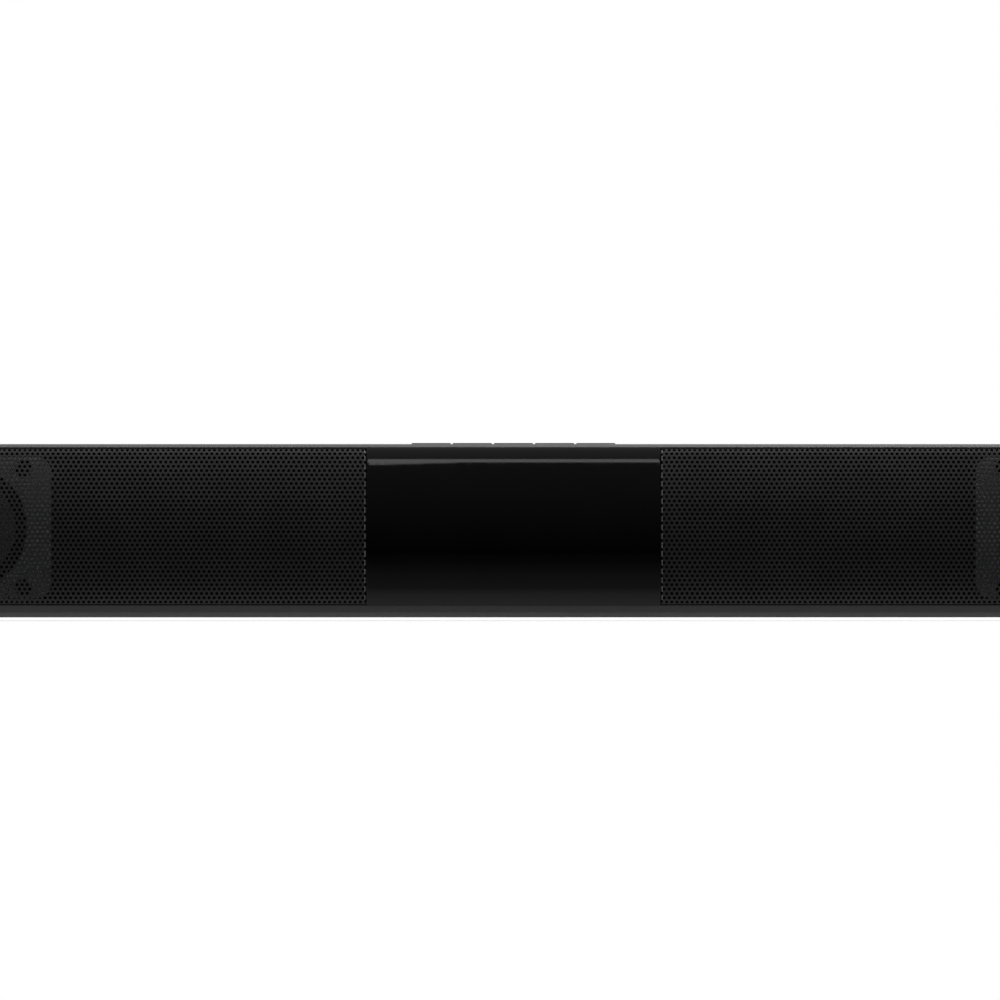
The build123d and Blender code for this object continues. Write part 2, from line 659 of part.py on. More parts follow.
# Baffle
baffle_half = HOUSING_HALF - FIT
baffle_height = INSIDE_TOP - INSIDE_BOTTOM - 2 * FIT
baffle_middle = Pos(0, (INSIDE_TOP + INSIDE_BOTTOM) / 2)
baffle = along_y(baffle_middle * Rectangle(2 * baffle_half, baffle_height), BAFFLE_FRONT, BAFFLE_BACK)
rim_half = HOUSING_HALF - SPIGOT_DEPTH - 2 * FIT
rim = Rectangle(2 * rim_half, baffle_height)
rim -= Rectangle(2 * (rim_half - BAFFLE_RIM), baffle_height - 2 * BAFFLE_RIM)
baffle += along_y(baffle_middle * rim, BAFFLE_BACK, BAFFLE_BACK + BAFFLE_RIM_DEPTH)
baffle += [disc_y(x, z, POST_RADIUS, BAFFLE_BACK, POST_END - FIT) for x, z in POSTS]
boss_end = BAFFLE_BACK + BAFFLE_BOSS_DEPTH
baffle += [disc_y(x, z, BAFFLE_BOSS_RADIUS, BAFFLE_BACK, boss_end) for x, z in DRIVER_HOLES]
cutout = BASKET_RADIUS + BASKET_FIT
baffle -= [disc_y(x, DRIVER_Z, cutout, BAFFLE_FRONT, boss_end) for x in DRIVERS.values()]
driver_bite = FLANGE_FRONT + SCREW_LENGTH + FIT
baffle -= [disc_y(x, z, hole, BAFFLE_FRONT, driver_bite) for x, z in DRIVER_HOLES]
post_bite = SEAT_Y - SCREW_LENGTH - FIT
baffle -= [disc_y(x, z, hole, post_bite, POST_END) for x, z in POSTS]
baffle -= [disc_y(x, z, hole, BAFFLE_FRONT, BAFFLE_BACK) for x, z in PANEL_POSTS]
save("front_baffle", baffle)


# Loudspeakers, built at the origin and moved into place
def driver_frame():
    """Flange and stamped basket with four windows."""
    plate = RectangleRounded(FLANGE_WIDTH, FLANGE_HEIGHT, FLANGE_CORNER) - Circle(OPENING_RADIUS)
    plate -= [Pos(x, z) * Circle(hole) for x, z in FLANGE_HOLES]
    frame = along_y(plate, FLANGE_FRONT, FLANGE_BACK)
    shelf = SHELF_FRONT + BASKET_WALL
    ledge = OPENING_RADIUS - BASKET_LEDGE
    frame += turned(
        (OPENING_RADIUS, FLANGE_BACK),
        (BASKET_RADIUS, FLANGE_BACK),
        (BASKET_RADIUS, shelf),
        (BASKET_NECK_RADIUS + BASKET_WALL, BASKET_BACK),
        (BASKET_HOLE_RADIUS, BASKET_BACK),
        (BASKET_HOLE_RADIUS, BASKET_BACK - BASKET_WALL),
        (BASKET_NECK_RADIUS, BASKET_BACK - BASKET_WALL),
        (ledge, shelf),
        (ledge, SHELF_FRONT),
        (OPENING_RADIUS, SHELF_FRONT),
    )
    window_front = shelf + BASKET_WINDOW_MARGIN
    window_back = BASKET_BACK - BASKET_WALL - BASKET_WINDOW_MARGIN
    opening = RectangleRounded(BASKET_RADIUS, BASKET_WINDOW_WIDTH, BASKET_WINDOW_CORNER)
    window = along_y(Pos(BASKET_RADIUS, 0) * opening, window_front, window_back)
    return frame - [Rot(0, 45 + 90 * turn, 0) * window for turn in range(4)]


def driver_motor():
    """Top plate, ring magnet and yoke with its pole."""
    coil_outer = COIL_RADIUS + COIL_FORMER + COIL_WINDING
    plate_back = BASKET_BACK + TOP_PLATE_THICKNESS
    magnet_back = plate_back + MAGNET_THICKNESS
    yoke_back = magnet_back + YOKE_THICKNESS
    pole = COIL_RADIUS - COIL_GAP
    top_plate = turned(
        (coil_outer + COIL_GAP, BASKET_BACK),
        (TOP_PLATE_RADIUS, BASKET_BACK),
        (TOP_PLATE_RADIUS, plate_back),
        (coil_outer + COIL_GAP, plate_back),
    )
    magnet = turned(
        (MAGNET_BORE_RADIUS, plate_back),
        (MAGNET_RADIUS - MAGNET_CHAMFER, plate_back),
        (MAGNET_RADIUS, plate_back + MAGNET_CHAMFER),
        (MAGNET_RADIUS, magnet_back - MAGNET_CHAMFER),
        (MAGNET_RADIUS - MAGNET_CHAMFER, magnet_back),
        (MAGNET_BORE_RADIUS, magnet_back),
    )
    yoke = turned(
        (VENT_RADIUS, BASKET_BACK),
        (pole, BASKET_BACK),
        (pole, magnet_back),
        (YOKE_RADIUS, magnet_back),
        (YOKE_RADIUS, yoke_back - YOKE_CHAMFER),
        (YOKE_RADIUS - YOKE_CHAMFER, yoke_back),
        (VENT_RADIUS, yoke_back),
    )
    return top_plate, magnet, yoke


CONE_FRONT = SHELF_FRONT - GLUE_GAP
CONE_INNER = CONE_RADIUS - CONE_RIM
CONE_NECK = COIL_RADIUS + COIL_FORMER
CONE_NECK_FRONT = CONE_FRONT + CONE_DEPTH


def driver_cone():
    """Paper cone with its glued-in coil former and winding."""
    cone = turned(
        (CONE_NECK, CONE_NECK_FRONT),
        (CONE_INNER, CONE_FRONT),
        (CONE_RADIUS, CONE_FRONT),
        (CONE_RADIUS, CONE_FRONT + CONE_SKIN),
        (CONE_INNER, CONE_FRONT + CONE_SKIN),
        (CONE_NECK, CONE_NECK_FRONT + 1.3 * CONE_SKIN),
    )
    former_front = CONE_NECK_FRONT - CONE_SKIN
    former_back = BASKET_BACK + TOP_PLATE_THICKNESS + COIL_OVERHANG
    winding = CONE_NECK + COIL_WINDING
    coil = turned(
        (COIL_RADIUS, former_front),
        (CONE_NECK, former_front),
        (CONE_NECK, BASKET_BACK),
        (winding, BASKET_BACK),
        (winding, former_back),
        (COIL_RADIUS, former_back),
    )
    return cone, coil


def dome(radius, crown, edge):
    """Round arc from the axis at the crown's depth out to the edge's."""
    rise = edge - crown
    bend = (radius**2 + rise**2) / (2 * rise)
    return ThreePointArc(
        (0, crown), (radius / 2, crown + bend - sqrt(bend**2 - radius**2 / 4)), (radius, edge)
    )


def driver_dust_cap():
    """Domed cap over the coil, standing on the cone."""
    share = (DUST_CAP_RADIUS - CONE_NECK) / (CONE_INNER - CONE_NECK)
    base = CONE_NECK_FRONT - share * CONE_DEPTH - GLUE_GAP
    crown = base - DUST_CAP_RISE
    outer = dome(DUST_CAP_RADIUS, crown, base - CONE_SKIN)
    inner = dome(DUST_CAP_RADIUS - CONE_SKIN, crown + CONE_SKIN, base)
    rim = Polyline(outer @ 1, (DUST_CAP_RADIUS, base), inner @ 1)
    return revolve(region(outer, rim, inner, Line(inner @ 0, outer @ 0)), Axis.Y)


def driver_surround():
    """Rubber half roll between the cone's rim and the basket's shelf."""
    lip_back = SHELF_FRONT - 2 * GLUE_GAP
    lip_front = lip_back - SURROUND_SKIN
    outer = OPENING_RADIUS - FIT
    inner = CONE_INNER + SURROUND_LAP
    middle = (OPENING_RADIUS - BASKET_LEDGE + CONE_RADIUS) / 2
    big, small = SURROUND_ROLL + SURROUND_SKIN, SURROUND_ROLL
    edges = [
        Polyline(
            (middle - small, lip_back), (inner, lip_back), (inner, lip_front), (middle - big, lip_front)
        ),
        ThreePointArc(
            (middle - big, lip_front), (middle, lip_front - big), (middle + big, lip_front)
        ),
        Polyline(
            (middle + big, lip_front), (outer, lip_front), (outer, lip_back), (middle + small, lip_back)
        ),
        ThreePointArc(
            (middle + small, lip_back), (middle, lip_back - small - SURROUND_SKIN), (middle - small, lip_back)
        ),
    ]
    return revolve(region(*edges), Axis.Y)


def driver_spider():
    """Corrugated disc that centres the coil, from its former to the basket's back."""
    seat = BASKET_BACK - BASKET_WALL - GLUE_GAP
    start, end = CONE_NECK + 2 * GLUE_GAP, BASKET_NECK_RADIUS - FIT
    first, last = start + SPIDER_LIP / 2, end - SPIDER_LIP
    step = (last - first) / SPIDER_FOLDS
    middle = seat - SPIDER_FOLD_HEIGHT
    line = [(start, middle), (first, middle)]
    for fold in range(SPIDER_FOLDS):
        way = 1 if fold % 2 else -1
        line.append((first + (fold + 0.5) * step, middle + way * SPIDER_FOLD_HEIGHT / 2))
    line += [(last, seat), (end, seat)]
    front = [(radius, depth - SPIDER_SKIN) for radius, depth in line]
    return turned(*front, *reversed(line))


GASKET = RectangleRounded(FLANGE_WIDTH, FLANGE_HEIGHT, FLANGE_CORNER) - Circle(BASKET_RADIUS + FIT)
GASKET -= [Pos(x, z) * Circle(hole + FIT) for x, z in FLANGE_HOLES]
gasket = along_y(GASKET, FLANGE_BACK, BAFFLE_FRONT)
frame, cone, dust_cap = driver_frame(), driver_cone(), driver_dust_cap()
motor, surround, spider = driver_motor(), driver_surround(), driver_spider()
gaskets = []
for name, x in DRIVERS.items():
    place = Pos(x, 0, DRIVER_Z)
    save(f"driver_frame_{name}", place * frame)
    save(f"driver_motor_{name}", *[place * piece for piece in motor])
    save(f"driver_cone_{name}", *[place * piece for piece in cone])
    save(f"driver_dust_cap_{name}", place * dust_cap)
    save(f"driver_surround_{name}", place * surround)
    save(f"driver_spider_{name}", place * spider)
    gaskets.append(place * gasket)
save("driver_gaskets", *gaskets)

# Main board, its parts and the socket well
board = along_z(
    Pos(0, (BOARD_FRONT + BOARD_BACK) / 2)
    * RectangleRounded(BOARD_LENGTH, BOARD_BACK - BOARD_FRONT, BOARD_CORNER),
    BOARD_UNDER,
    BOARD_TOP,
)
board -= [disc_z(x, y, small_hole, BOARD_UNDER, BOARD_TOP) for x, y in BOARD_HOLES]
save("main_board", board)

sink = along_y(
    Pos(HEAT_SINK_X, BOARD_TOP + HEAT_SINK_BASE / 2) * Rectangle(HEAT_SINK_LENGTH, HEAT_SINK_BASE),
    HEAT_SINK_Y - HEAT_SINK_DEPTH / 2,
    HEAT_SINK_Y + HEAT_SINK_DEPTH / 2,
)
fin_pitch = (HEAT_SINK_LENGTH - HEAT_SINK_FIN) / (HEAT_SINK_FINS - 1)
for i in range(HEAT_SINK_FINS):
    fin_x = HEAT_SINK_X - (HEAT_SINK_LENGTH - HEAT_SINK_FIN) / 2 + i * fin_pitch
    fin = Pos(fin_x, BOARD_TOP + HEAT_SINK_HEIGHT / 2) * Rectangle(HEAT_SINK_FIN, HEAT_SINK_HEIGHT)
    sink += along_y(fin, HEAT_SINK_Y - HEAT_SINK_DEPTH / 2, HEAT_SINK_Y + HEAT_SINK_DEPTH / 2)
save("heat_sink", sink)

capacitor = Cylinder(CAPACITOR_RADIUS, CAPACITOR_HEIGHT, align=(Align.CENTER, Align.CENTER, Align.MIN))
capacitor_rim = capacitor.edges().filter_by(GeomType.CIRCLE).sort_by(Axis.Z)[-1]
capacitor = fillet(capacitor_rim, CAPACITOR_EDGE_RADIUS)
save(
    "capacitors",
    *[Pos(x, y, BOARD_TOP) * capacitor for x in CAPACITOR_X for y in CAPACITOR_Y],
)

flange = Pos(0, WELL_Z) * RectangleRounded(PORT_FLANGE_LENGTH, PORT_FLANGE_HEIGHT, PORT_WELL_CORNER)
port_panel = along_y(flange, INSIDE_BACK - PORT_FLANGE_THICKNESS, INSIDE_BACK)
port_panel += along_y(port_opening(PORT_WELL_WALL), WELL_FLOOR - PORT_WELL_WALL, INSIDE_BACK)
port_panel -= along_y(port_opening(0), WELL_FLOOR, INSIDE_BACK)
port_panel -= [
    disc_y(x, WELL_Z, small_hole, INSIDE_BACK - PORT_FLANGE_THICKNESS, INSIDE_BACK)
    for x in (-PORT_SCREW_X, PORT_SCREW_X)
]
dc_z = BOARD_TOP + DC_HEIGHT / 2
aux_z = BOARD_TOP + AUX_HEIGHT / 2
usb_z = BOARD_TOP + USB_HEIGHT / 2
panel_hole_front = WELL_FLOOR - PORT_WELL_WALL
port_panel -= disc_y(DC_X, dc_z, DC_NOSE_RADIUS + FIT, panel_hole_front, WELL_FLOOR)
port_panel -= disc_y(AUX_X, aux_z, AUX_NOSE_RADIUS + FIT, panel_hole_front, WELL_FLOOR)
port_panel -= along_y(
    Pos(USB_X, usb_z) * Rectangle(USB_WIDTH + 2 * FIT, USB_HEIGHT + 2 * FIT), panel_hole_front, WELL_FLOOR
)
save("port_panel", port_panel)

inlet = along_y(Pos(DC_X, dc_z) * Rectangle(DC_WIDTH, DC_HEIGHT), SOCKET_FRONT - DC_BODY, SOCKET_FRONT)
inlet += disc_y(DC_X, dc_z, DC_NOSE_RADIUS, SOCKET_FRONT, SOCKET_MOUTH)
inlet -= disc_y(DC_X, dc_z, DC_BORE_RADIUS, SOCKET_MOUTH - DC_BORE_DEPTH, SOCKET_MOUTH)
pin_mouth = SOCKET_MOUTH - DC_PIN_SETBACK
inlet += disc_y(DC_X, dc_z, DC_PIN_RADIUS, pin_mouth - DC_BORE_DEPTH, pin_mouth)
save("dc_inlet", inlet)

jack = along_y(Pos(AUX_X, aux_z) * Rectangle(AUX_WIDTH, AUX_HEIGHT), SOCKET_FRONT - AUX_BODY, SOCKET_FRONT)
jack += disc_y(AUX_X, aux_z, AUX_NOSE_RADIUS, SOCKET_FRONT, SOCKET_MOUTH)
jack -= disc_y(AUX_X, aux_z, AUX_BORE_RADIUS, SOCKET_MOUTH - AUX_BORE_DEPTH, SOCKET_MOUTH)
save("aux_jack", jack)

usb_back = SOCKET_FRONT - USB_BODY
usb = along_y(Pos(USB_X, usb_z) * RectangleRounded(USB_WIDTH, USB_HEIGHT, USB_CORNER), usb_back, SOCKET_MOUTH)
usb_inside = Rectangle(USB_WIDTH - 2 * USB_SHELL, USB_HEIGHT - 2 * USB_SHELL)
usb -= along_y(Pos(USB_X, usb_z) * usb_inside, usb_back + USB_BACK_WALL, SOCKET_MOUTH)
tongue_top = usb_z + USB_HEIGHT / 2 - USB_SHELL - USB_TONGUE_GAP
tongue = Pos(USB_X, tongue_top - USB_TONGUE_THICKNESS / 2)
tongue *= Rectangle(USB_TONGUE_WIDTH, USB_TONGUE_THICKNESS)
usb += along_y(tongue, usb_back + USB_BACK_WALL / 2, SOCKET_MOUTH - USB_TONGUE_SETBACK)
save("usb_socket", usb)

# Button board, switches and keys
strip = along_z(
    Pos(0, KEY_ROW_Y) * RectangleRounded(BUTTON_BOARD_LENGTH, BUTTON_BOARD_DEPTH, BOARD_CORNER),
    BUTTON_BOARD_UNDER,
    BUTTON_BOARD_TOP,
)
strip -= [
    disc_z(x, KEY_ROW_Y, small_hole, BUTTON_BOARD_UNDER, BUTTON_BOARD_TOP)
    for x in (-BUTTON_BOARD_HOLE_X, BUTTON_BOARD_HOLE_X)
]
save("button_board", strip)

switch = along_z(RectangleRounded(SWITCH_SIZE, SWITCH_SIZE, SWITCH_CORNER), BUTTON_BOARD_TOP, SWITCH_TOP)
switch -= disc_z(0, 0, PLUNGER_RADIUS + FIT, SWITCH_TOP - PLUNGER_SUNK - 2 * KEY_TRAVEL, SWITCH_TOP)
save("tact_switches", *[Pos(x, KEY_ROW_Y, 0) * switch for x in KEY_X])

cap_top = TOP + KEY_PROUD
key = along_z(RectangleRounded(KEY_LENGTH, KEY_DEPTH, KEY_CORNER), KEY_FLANGE_TOP, cap_top)
key = fillet(key.faces().sort_by(Axis.Z)[-1].edges(), KEY_EDGE_RADIUS)
key_flange_low = KEY_FLANGE_TOP - KEY_FLANGE_THICKNESS
key += along_z(RectangleRounded(KEY_LENGTH, KEY_FLANGE_DEPTH, KEY_CORNER), key_flange_low, KEY_FLANGE_TOP)
key += disc_z(0, 0, KEY_STEM_RADIUS, PLUNGER_TOP, key_flange_low)
plunger = disc_z(0, 0, PLUNGER_RADIUS, SWITCH_TOP - PLUNGER_SUNK, PLUNGER_TOP)
for name, x in zip(KEYS, KEY_X):
    save(f"button_{name}", Pos(x, KEY_ROW_Y, 0) * key)
    save(f"plunger_{name}", Pos(x, KEY_ROW_Y, 0) * plunger)

# Feet
foot = along_z(SlotOverall(FOOT_LENGTH, FOOT_WIDTH), 0, BOTTOM + FOOT_RECESS)
foot = fillet(foot.faces().sort_by(Axis.Z)[0].edges(), FOOT_EDGE_RADIUS)
for name, (x, y) in FEET.items():
    save(f"foot_{name}", Pos(x, y, 0) * foot)

# Screws
save("driver_screws", *[Pos(x, FLANGE_FRONT, z) * DRIVER_SCREW for x, z in DRIVER_HOLES])
FROM_BACK = Rot(0, 0, 180)
FROM_TOP = Rot(-90, 0, 0)
FROM_BELOW = Rot(90, 0, 0)
save("housing_screws", *[Pos(x, SEAT_Y, z) * FROM_BACK * DRIVER_SCREW for x, z in POSTS])
save("panel_screws", *[Pos(x, BAFFLE_BACK, z) * FROM_BACK * DRIVER_SCREW for x, z in PANEL_POSTS])
board_screws = [Pos(x, y, BOARD_TOP) * FROM_TOP * SMALL_SCREW for x, y in BOARD_HOLES]
board_screws += [
    Pos(x, KEY_ROW_Y, BUTTON_BOARD_UNDER) * FROM_BELOW * SMALL_SCREW
    for x in (-BUTTON_BOARD_HOLE_X, BUTTON_BOARD_HOLE_X)
]
save("board_screws", *board_screws)
port_screw = screw(
    SMALL_SCREW_RADIUS,
    SMALL_SCREW_HEAD_RADIUS,
    SMALL_SCREW_HEAD_HEIGHT,
    PORT_FLANGE_THICKNESS + PORT_SCREW_BITE - FIT,
)
port_screw_y = INSIDE_BACK - PORT_FLANGE_THICKNESS
save("port_screws", *[Pos(x, port_screw_y, WELL_Z) * port_screw for x in (-PORT_SCREW_X, PORT_SCREW_X)])
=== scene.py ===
import math

import bmesh
import bpy
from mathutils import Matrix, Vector


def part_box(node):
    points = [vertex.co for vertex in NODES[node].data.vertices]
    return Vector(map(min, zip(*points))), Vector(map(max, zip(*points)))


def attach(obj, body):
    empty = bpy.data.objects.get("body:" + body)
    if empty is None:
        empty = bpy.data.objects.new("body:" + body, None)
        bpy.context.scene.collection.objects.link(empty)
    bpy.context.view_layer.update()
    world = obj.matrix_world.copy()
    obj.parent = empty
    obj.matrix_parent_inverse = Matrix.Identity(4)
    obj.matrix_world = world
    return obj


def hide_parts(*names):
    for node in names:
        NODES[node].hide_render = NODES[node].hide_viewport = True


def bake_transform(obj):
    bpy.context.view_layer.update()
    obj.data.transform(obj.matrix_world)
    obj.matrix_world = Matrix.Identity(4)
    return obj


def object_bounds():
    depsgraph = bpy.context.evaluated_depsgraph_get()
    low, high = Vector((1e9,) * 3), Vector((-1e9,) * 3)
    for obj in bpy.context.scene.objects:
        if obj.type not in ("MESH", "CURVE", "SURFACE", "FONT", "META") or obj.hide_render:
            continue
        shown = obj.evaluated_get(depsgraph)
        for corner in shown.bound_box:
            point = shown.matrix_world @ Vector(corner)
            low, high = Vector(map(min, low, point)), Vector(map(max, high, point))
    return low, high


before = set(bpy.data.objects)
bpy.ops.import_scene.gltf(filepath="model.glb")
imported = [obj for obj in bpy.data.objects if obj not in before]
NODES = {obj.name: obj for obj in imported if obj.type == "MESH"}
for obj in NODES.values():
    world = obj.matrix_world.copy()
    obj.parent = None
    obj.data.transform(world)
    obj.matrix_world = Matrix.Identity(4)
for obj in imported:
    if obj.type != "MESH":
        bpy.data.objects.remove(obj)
cad_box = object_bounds()
MM = 0.001

# Picture: the photograph's scale, and the pixel where the bar's middle and its underside lie
FRAME_PIXELS = 1000
MM_PER_PIXEL = 0.3343
MIDDLE_PIXEL_X = 513.5
UNDERSIDE_PIXEL_Y = 617.5
CAMERA_DISTANCE = 8.0
CAMERA_REACH = 100.0
SENSOR = 36.0

# The bowed front in section, as in the CAD model, in millimetres and degrees
FACE_BOW = 4.3
CREST_HEIGHT = 21.0
TOP_ROLL_RADIUS = 6.0
BOTTOM_ROLL_RADIUS = 5.0
BOTTOM_ROLL_LIFT = 2.2
TOP_ROLL_END = 52.0
BOTTOM_ROLL_END = 38.0
GRILLE_INSET = 0.5
GRILLE_THICKNESS = 0.8
GRILLE_RETURN = 4.2

# Gloss panel: skin, cheeks and screw posts; cheeks and posts are rooted in the skin
PANEL_THICKNESS = 2.0
PANEL_ROOT = 0.9 * PANEL_THICKNESS
PANEL_STEPS = 150
PANEL_CHEEK = 1.8
CHEEK_STRIDE = 6
PANEL_EDGE_RADIUS = 0.4
PANEL_EDGE_TURNS = (0, 22.5, 45, 67.5, 90)
PANEL_SHARP = 30
PANEL_SEAT = -20.0
PANEL_POSTS = ((-36.0, -6.0), (-36.0, 24.0), (36.0, -6.0), (36.0, 24.0))
POST_RADIUS = 3.6
POST_BORE = 1.2
POST_BORE_DEPTH = 6.0
POST_SIDES = 32

# Perforation: round holes in staggered rows that run to every edge of the sheet
HOLE_PITCH = 1.715
HOLE_RADIUS = 0.55
HOLE_SIDES = 12
TOP_ROW_MARGIN = 0.62
BOTTOM_ROW_MARGIN = 1.25
SHEARED_SLOPE = 0.4
SAME_PLACE = 1e-6

# Loudspeaker suspension, as in the CAD model: rubber half roll, and corrugated cloth behind
SURROUND_OUTER = 21.4
SURROUND_MIDDLE = 19.45
SURROUND_INNER = 17.8
SURROUND_ROLL = 0.8
SURROUND_SKIN = 0.5
ROLL_STEPS = 14
SPIDER_OUTER = 15.3
SPIDER_INNER = 7.5
SPIDER_SEAT = 13.7
SPIDER_NECK = 8.3
SPIDER_FOLDS = 5
SPIDER_FOLD_HEIGHT = 1.4
SPIDER_SKIN = 0.4
FOLD_STEPS = 6
RING_SECTORS = 24
SECTOR_STEPS = 5
RING_WELD = 0.001
RING_SHARP = 40

# Room in the world's reflections: height from nadir to zenith, and brightness
ROOM = (
    (0.0, 0.08),
    (0.40, 0.07),
    (0.44, 0.052),
    (0.497, 0.022),
    (0.502, 0.004),
    (0.745, 0.10),
    (0.77, 0.24),
    (1.0, 0.30),
)
ROOM_DIFFUSE = (0.04, 0.04, 0.04, 1.0)
WHITE = (1.0, 1.0, 1.0, 1.0)

# Sweep behind the object: directions, by their Y and Z, over which it comes in and darkens
SWEEP_BACK = (-0.05, 0.25)
SWEEP_HEIGHT = (0.05, 0.4)
SWEEP_TOP = 0.2
SWEEP_DIFFUSE = (0.25, 0.25, 0.25, 1.0)

# Floor in metres: it thins out in front of the bar, by shares of its reach there
FLOOR_CORNERS = ((-1.2, -0.5, 0), (1.2, -0.5, 0), (1.2, 1.2, 0), (-1.2, 1.2, 0))
FLOOR_INSET = 0.002
FLOOR_REACH = 0.45
FLOOR_LYING = ((0.0, 1.0), (0.005, 0.9), (0.013, 0.35), (0.024, 0.06), (0.05, 0.0), (1.0, 0.0))
FLOOR_SEEN = ((0.0, 1.0), (0.003, 0.33), (0.085, 0.25), (0.13, 0.072), (0.44, 0.024), (1.0, 0.0))
FLOOR_FADE = (0.45, 1.1)
FLOOR_GLOW = 0.75

# Lamps in metres: name, place, aim, width, height and brightness
LAMPS = (
    ("top_softbox", (0.0, 0.0, 1.2), (0.0, 0.0, 0.0), 2.0, 0.45, 5.0),
    ("front_fill", (0.0, -2.5, 1.75), (0.0, 0.0, 0.03), 2.0, 1.5, 2.3),
    ("rim_light", (0.30, 0.30, 0.45), (0.15, 0.0, 0.05), 0.4, 0.4, 9.0),
)
# Strip light in front, which the gloss panel mirrors near its upper edge
MIRROR_Y = -0.0287
MIRROR_Z = 0.0537
STRIP_DISTANCE = 1.5
STRIP_RISE = 30.5
STRIP_LENGTH = 1.2
STRIP_HEIGHT = 0.028
STRIP_LEVEL = 1.7
STRIP_END_X = -0.053
STRIP_END_WIDTH = 0.012
STRIP_END_DROPS = (0.024, 0.016, 0.008)
STRIP_END_LEVEL = 1.5

DRIVERS = ("left_outer", "left_inner", "right_inner", "right_outer")
KEYS = ("power", "volume_down", "play", "volume_up", "source")
FEET = ("foot_front_left", "foot_front_right", "foot_back_left", "foot_back_right")
SCREWS = ("driver_screws", "housing_screws", "panel_screws", "board_screws", "port_screws")


# Materials
class Look:
    """A Principled material with a few procedural textures in the object's own metres."""

    def __init__(self, name, **values):
        self.material = bpy.data.materials.new(name)
        self.material.use_nodes = True
        self.nodes = self.material.node_tree.nodes
        self.links = self.material.node_tree.links
        self.shader = self.nodes["Principled BSDF"]
        self.place = self.nodes.new("ShaderNodeTexCoord").outputs["Object"]
        for socket, value in values.items():
            self.shader.inputs[socket.replace("_", " ")].default_value = value

    def stretched(self, scale):
        """Object coordinates, stretched along each axis."""
        node = self.nodes.new("ShaderNodeMapping")
        node.inputs["Scale"].default_value = scale
        self.links.new(self.place, node.inputs["Vector"])
        return node.outputs["Vector"]

    def noise(self, scale, detail=2.0, roughness=0.5, stretch=None):
        node = self.nodes.new("ShaderNodeTexNoise")
        node.inputs["Scale"].default_value = scale
        node.inputs["Detail"].default_value = detail
        node.inputs["Roughness"].default_value = roughness
        place = self.stretched(stretch) if stretch else self.place
        self.links.new(place, node.inputs["Vector"])
        return node.outputs["Fac"]

    def cells(self, scale):
        node = self.nodes.new("ShaderNodeTexVoronoi")
        node.inputs["Scale"].default_value = scale
        self.links.new(self.place, node.inputs["Vector"])
        return node.outputs["Distance"]

    def ramp(self, source, low, high, start=0.35, end=0.65):
        """Colour or value that goes from low to high as the source rises."""
        node = self.nodes.new("ShaderNodeValToRGB")
        first, last = node.color_ramp.elements
        first.position, last.position = start, end
        for element, value in ((first, low), (last, high)):
            grey = (value,) * 3 if isinstance(value, (int, float)) else value[:3]
            element.color = (*grey, 1.0)
        self.links.new(source, node.inputs["Fac"])
        return node.outputs["Color"]

    def colour(self, source):
        self.links.new(source, self.shader.inputs["Base Color"])

    def rough(self, source):
        self.links.new(source, self.shader.inputs["Roughness"])

    def bump(self, source, height, strength):
        node = self.nodes.new("ShaderNodeBump")
        node.inputs["Distance"].default_value = height
        node.inputs["Strength"].default_value = strength
        self.links.new(source, node.inputs["Height"])
        self.links.new(node.outputs["Normal"], self.shader.inputs["Normal"])


def moulded(name, dark, light, low, high, depth=0.00002):
    """Textured moulding: spark-eroded grain, faint cloudiness and a gloss that varies."""
    look = Look(name, IOR=1.5)
    look.colour(look.ramp(look.noise(55.0, 4.0), dark, light))
    look.rough(look.ramp(look.noise(420.0, 3.0), low, high))
    look.bump(look.noise(3200.0, 2.0), depth, 0.5)
    return look.material


def gloss_black():
    look = Look("gloss_panel", IOR=1.5)
    look.colour(look.ramp(look.noise(30.0), (0.0010, 0.0010, 0.0011), (0.0016, 0.0016, 0.0017)))
    look.rough(look.ramp(look.noise(900.0, 4.0, stretch=(1.0, 1.0, 0.25)), 0.02, 0.05))
    look.bump(look.noise(160.0), 0.000002, 0.15)
    return look.material


def painted_sheet():
    look = Look("grille_paint", IOR=1.5, Specular_IOR_Level=0.4)
    look.colour(look.ramp(look.noise(70.0, 3.0), (0.029, 0.029, 0.030), (0.036, 0.036, 0.037)))
    look.rough(look.ramp(look.noise(600.0, 3.0), 0.24, 0.34))
    look.bump(look.noise(2600.0, 2.0), 0.00001, 0.4)
    return look.material


def plated(name, dark, light, low, high, metal=1.0):
    """Plated or brushed metal with fine lines along X."""
    look = Look(name, Metallic=metal)
    look.colour(look.ramp(look.noise(90.0, 4.0), dark, light))
    look.rough(look.ramp(look.noise(1500.0, 3.0, stretch=(0.06, 1.0, 1.0)), low, high))
    look.bump(look.noise(2400.0, 2.0, stretch=(0.05, 1.0, 1.0)), 0.000006, 0.3)
    return look.material


def paper_pulp():
    look = Look("cone_paper", Sheen_Weight=0.15)
    pulp = look.noise(700.0, 5.0, 0.65)
    look.colour(look.ramp(pulp, (0.21, 0.21, 0.215), (0.33, 0.33, 0.335)))
    look.rough(look.ramp(look.noise(300.0, 3.0), 0.72, 0.9))
    look.bump(look.noise(1300.0, 4.0, 0.7), 0.00006, 0.7)
    return look.material


def rubber(name, level):
    look = Look(name, IOR=1.45)
    look.colour(look.ramp(look.noise(120.0, 3.0), (level,) * 3, (level * 1.5,) * 3))
    look.rough(look.ramp(look.noise(500.0, 3.0), 0.55, 0.75))
    look.bump(look.noise(1800.0, 2.0), 0.00002, 0.4)
    return look.material


def cloth(name, dark, light, cells):
    """Cloth or foam: mottled, with small cells."""
    look = Look(name, Roughness=0.9)
    look.colour(look.ramp(look.noise(cells, 2.0), dark, light))
    look.bump(look.cells(cells), 0.0001, 0.7)
    return look.material


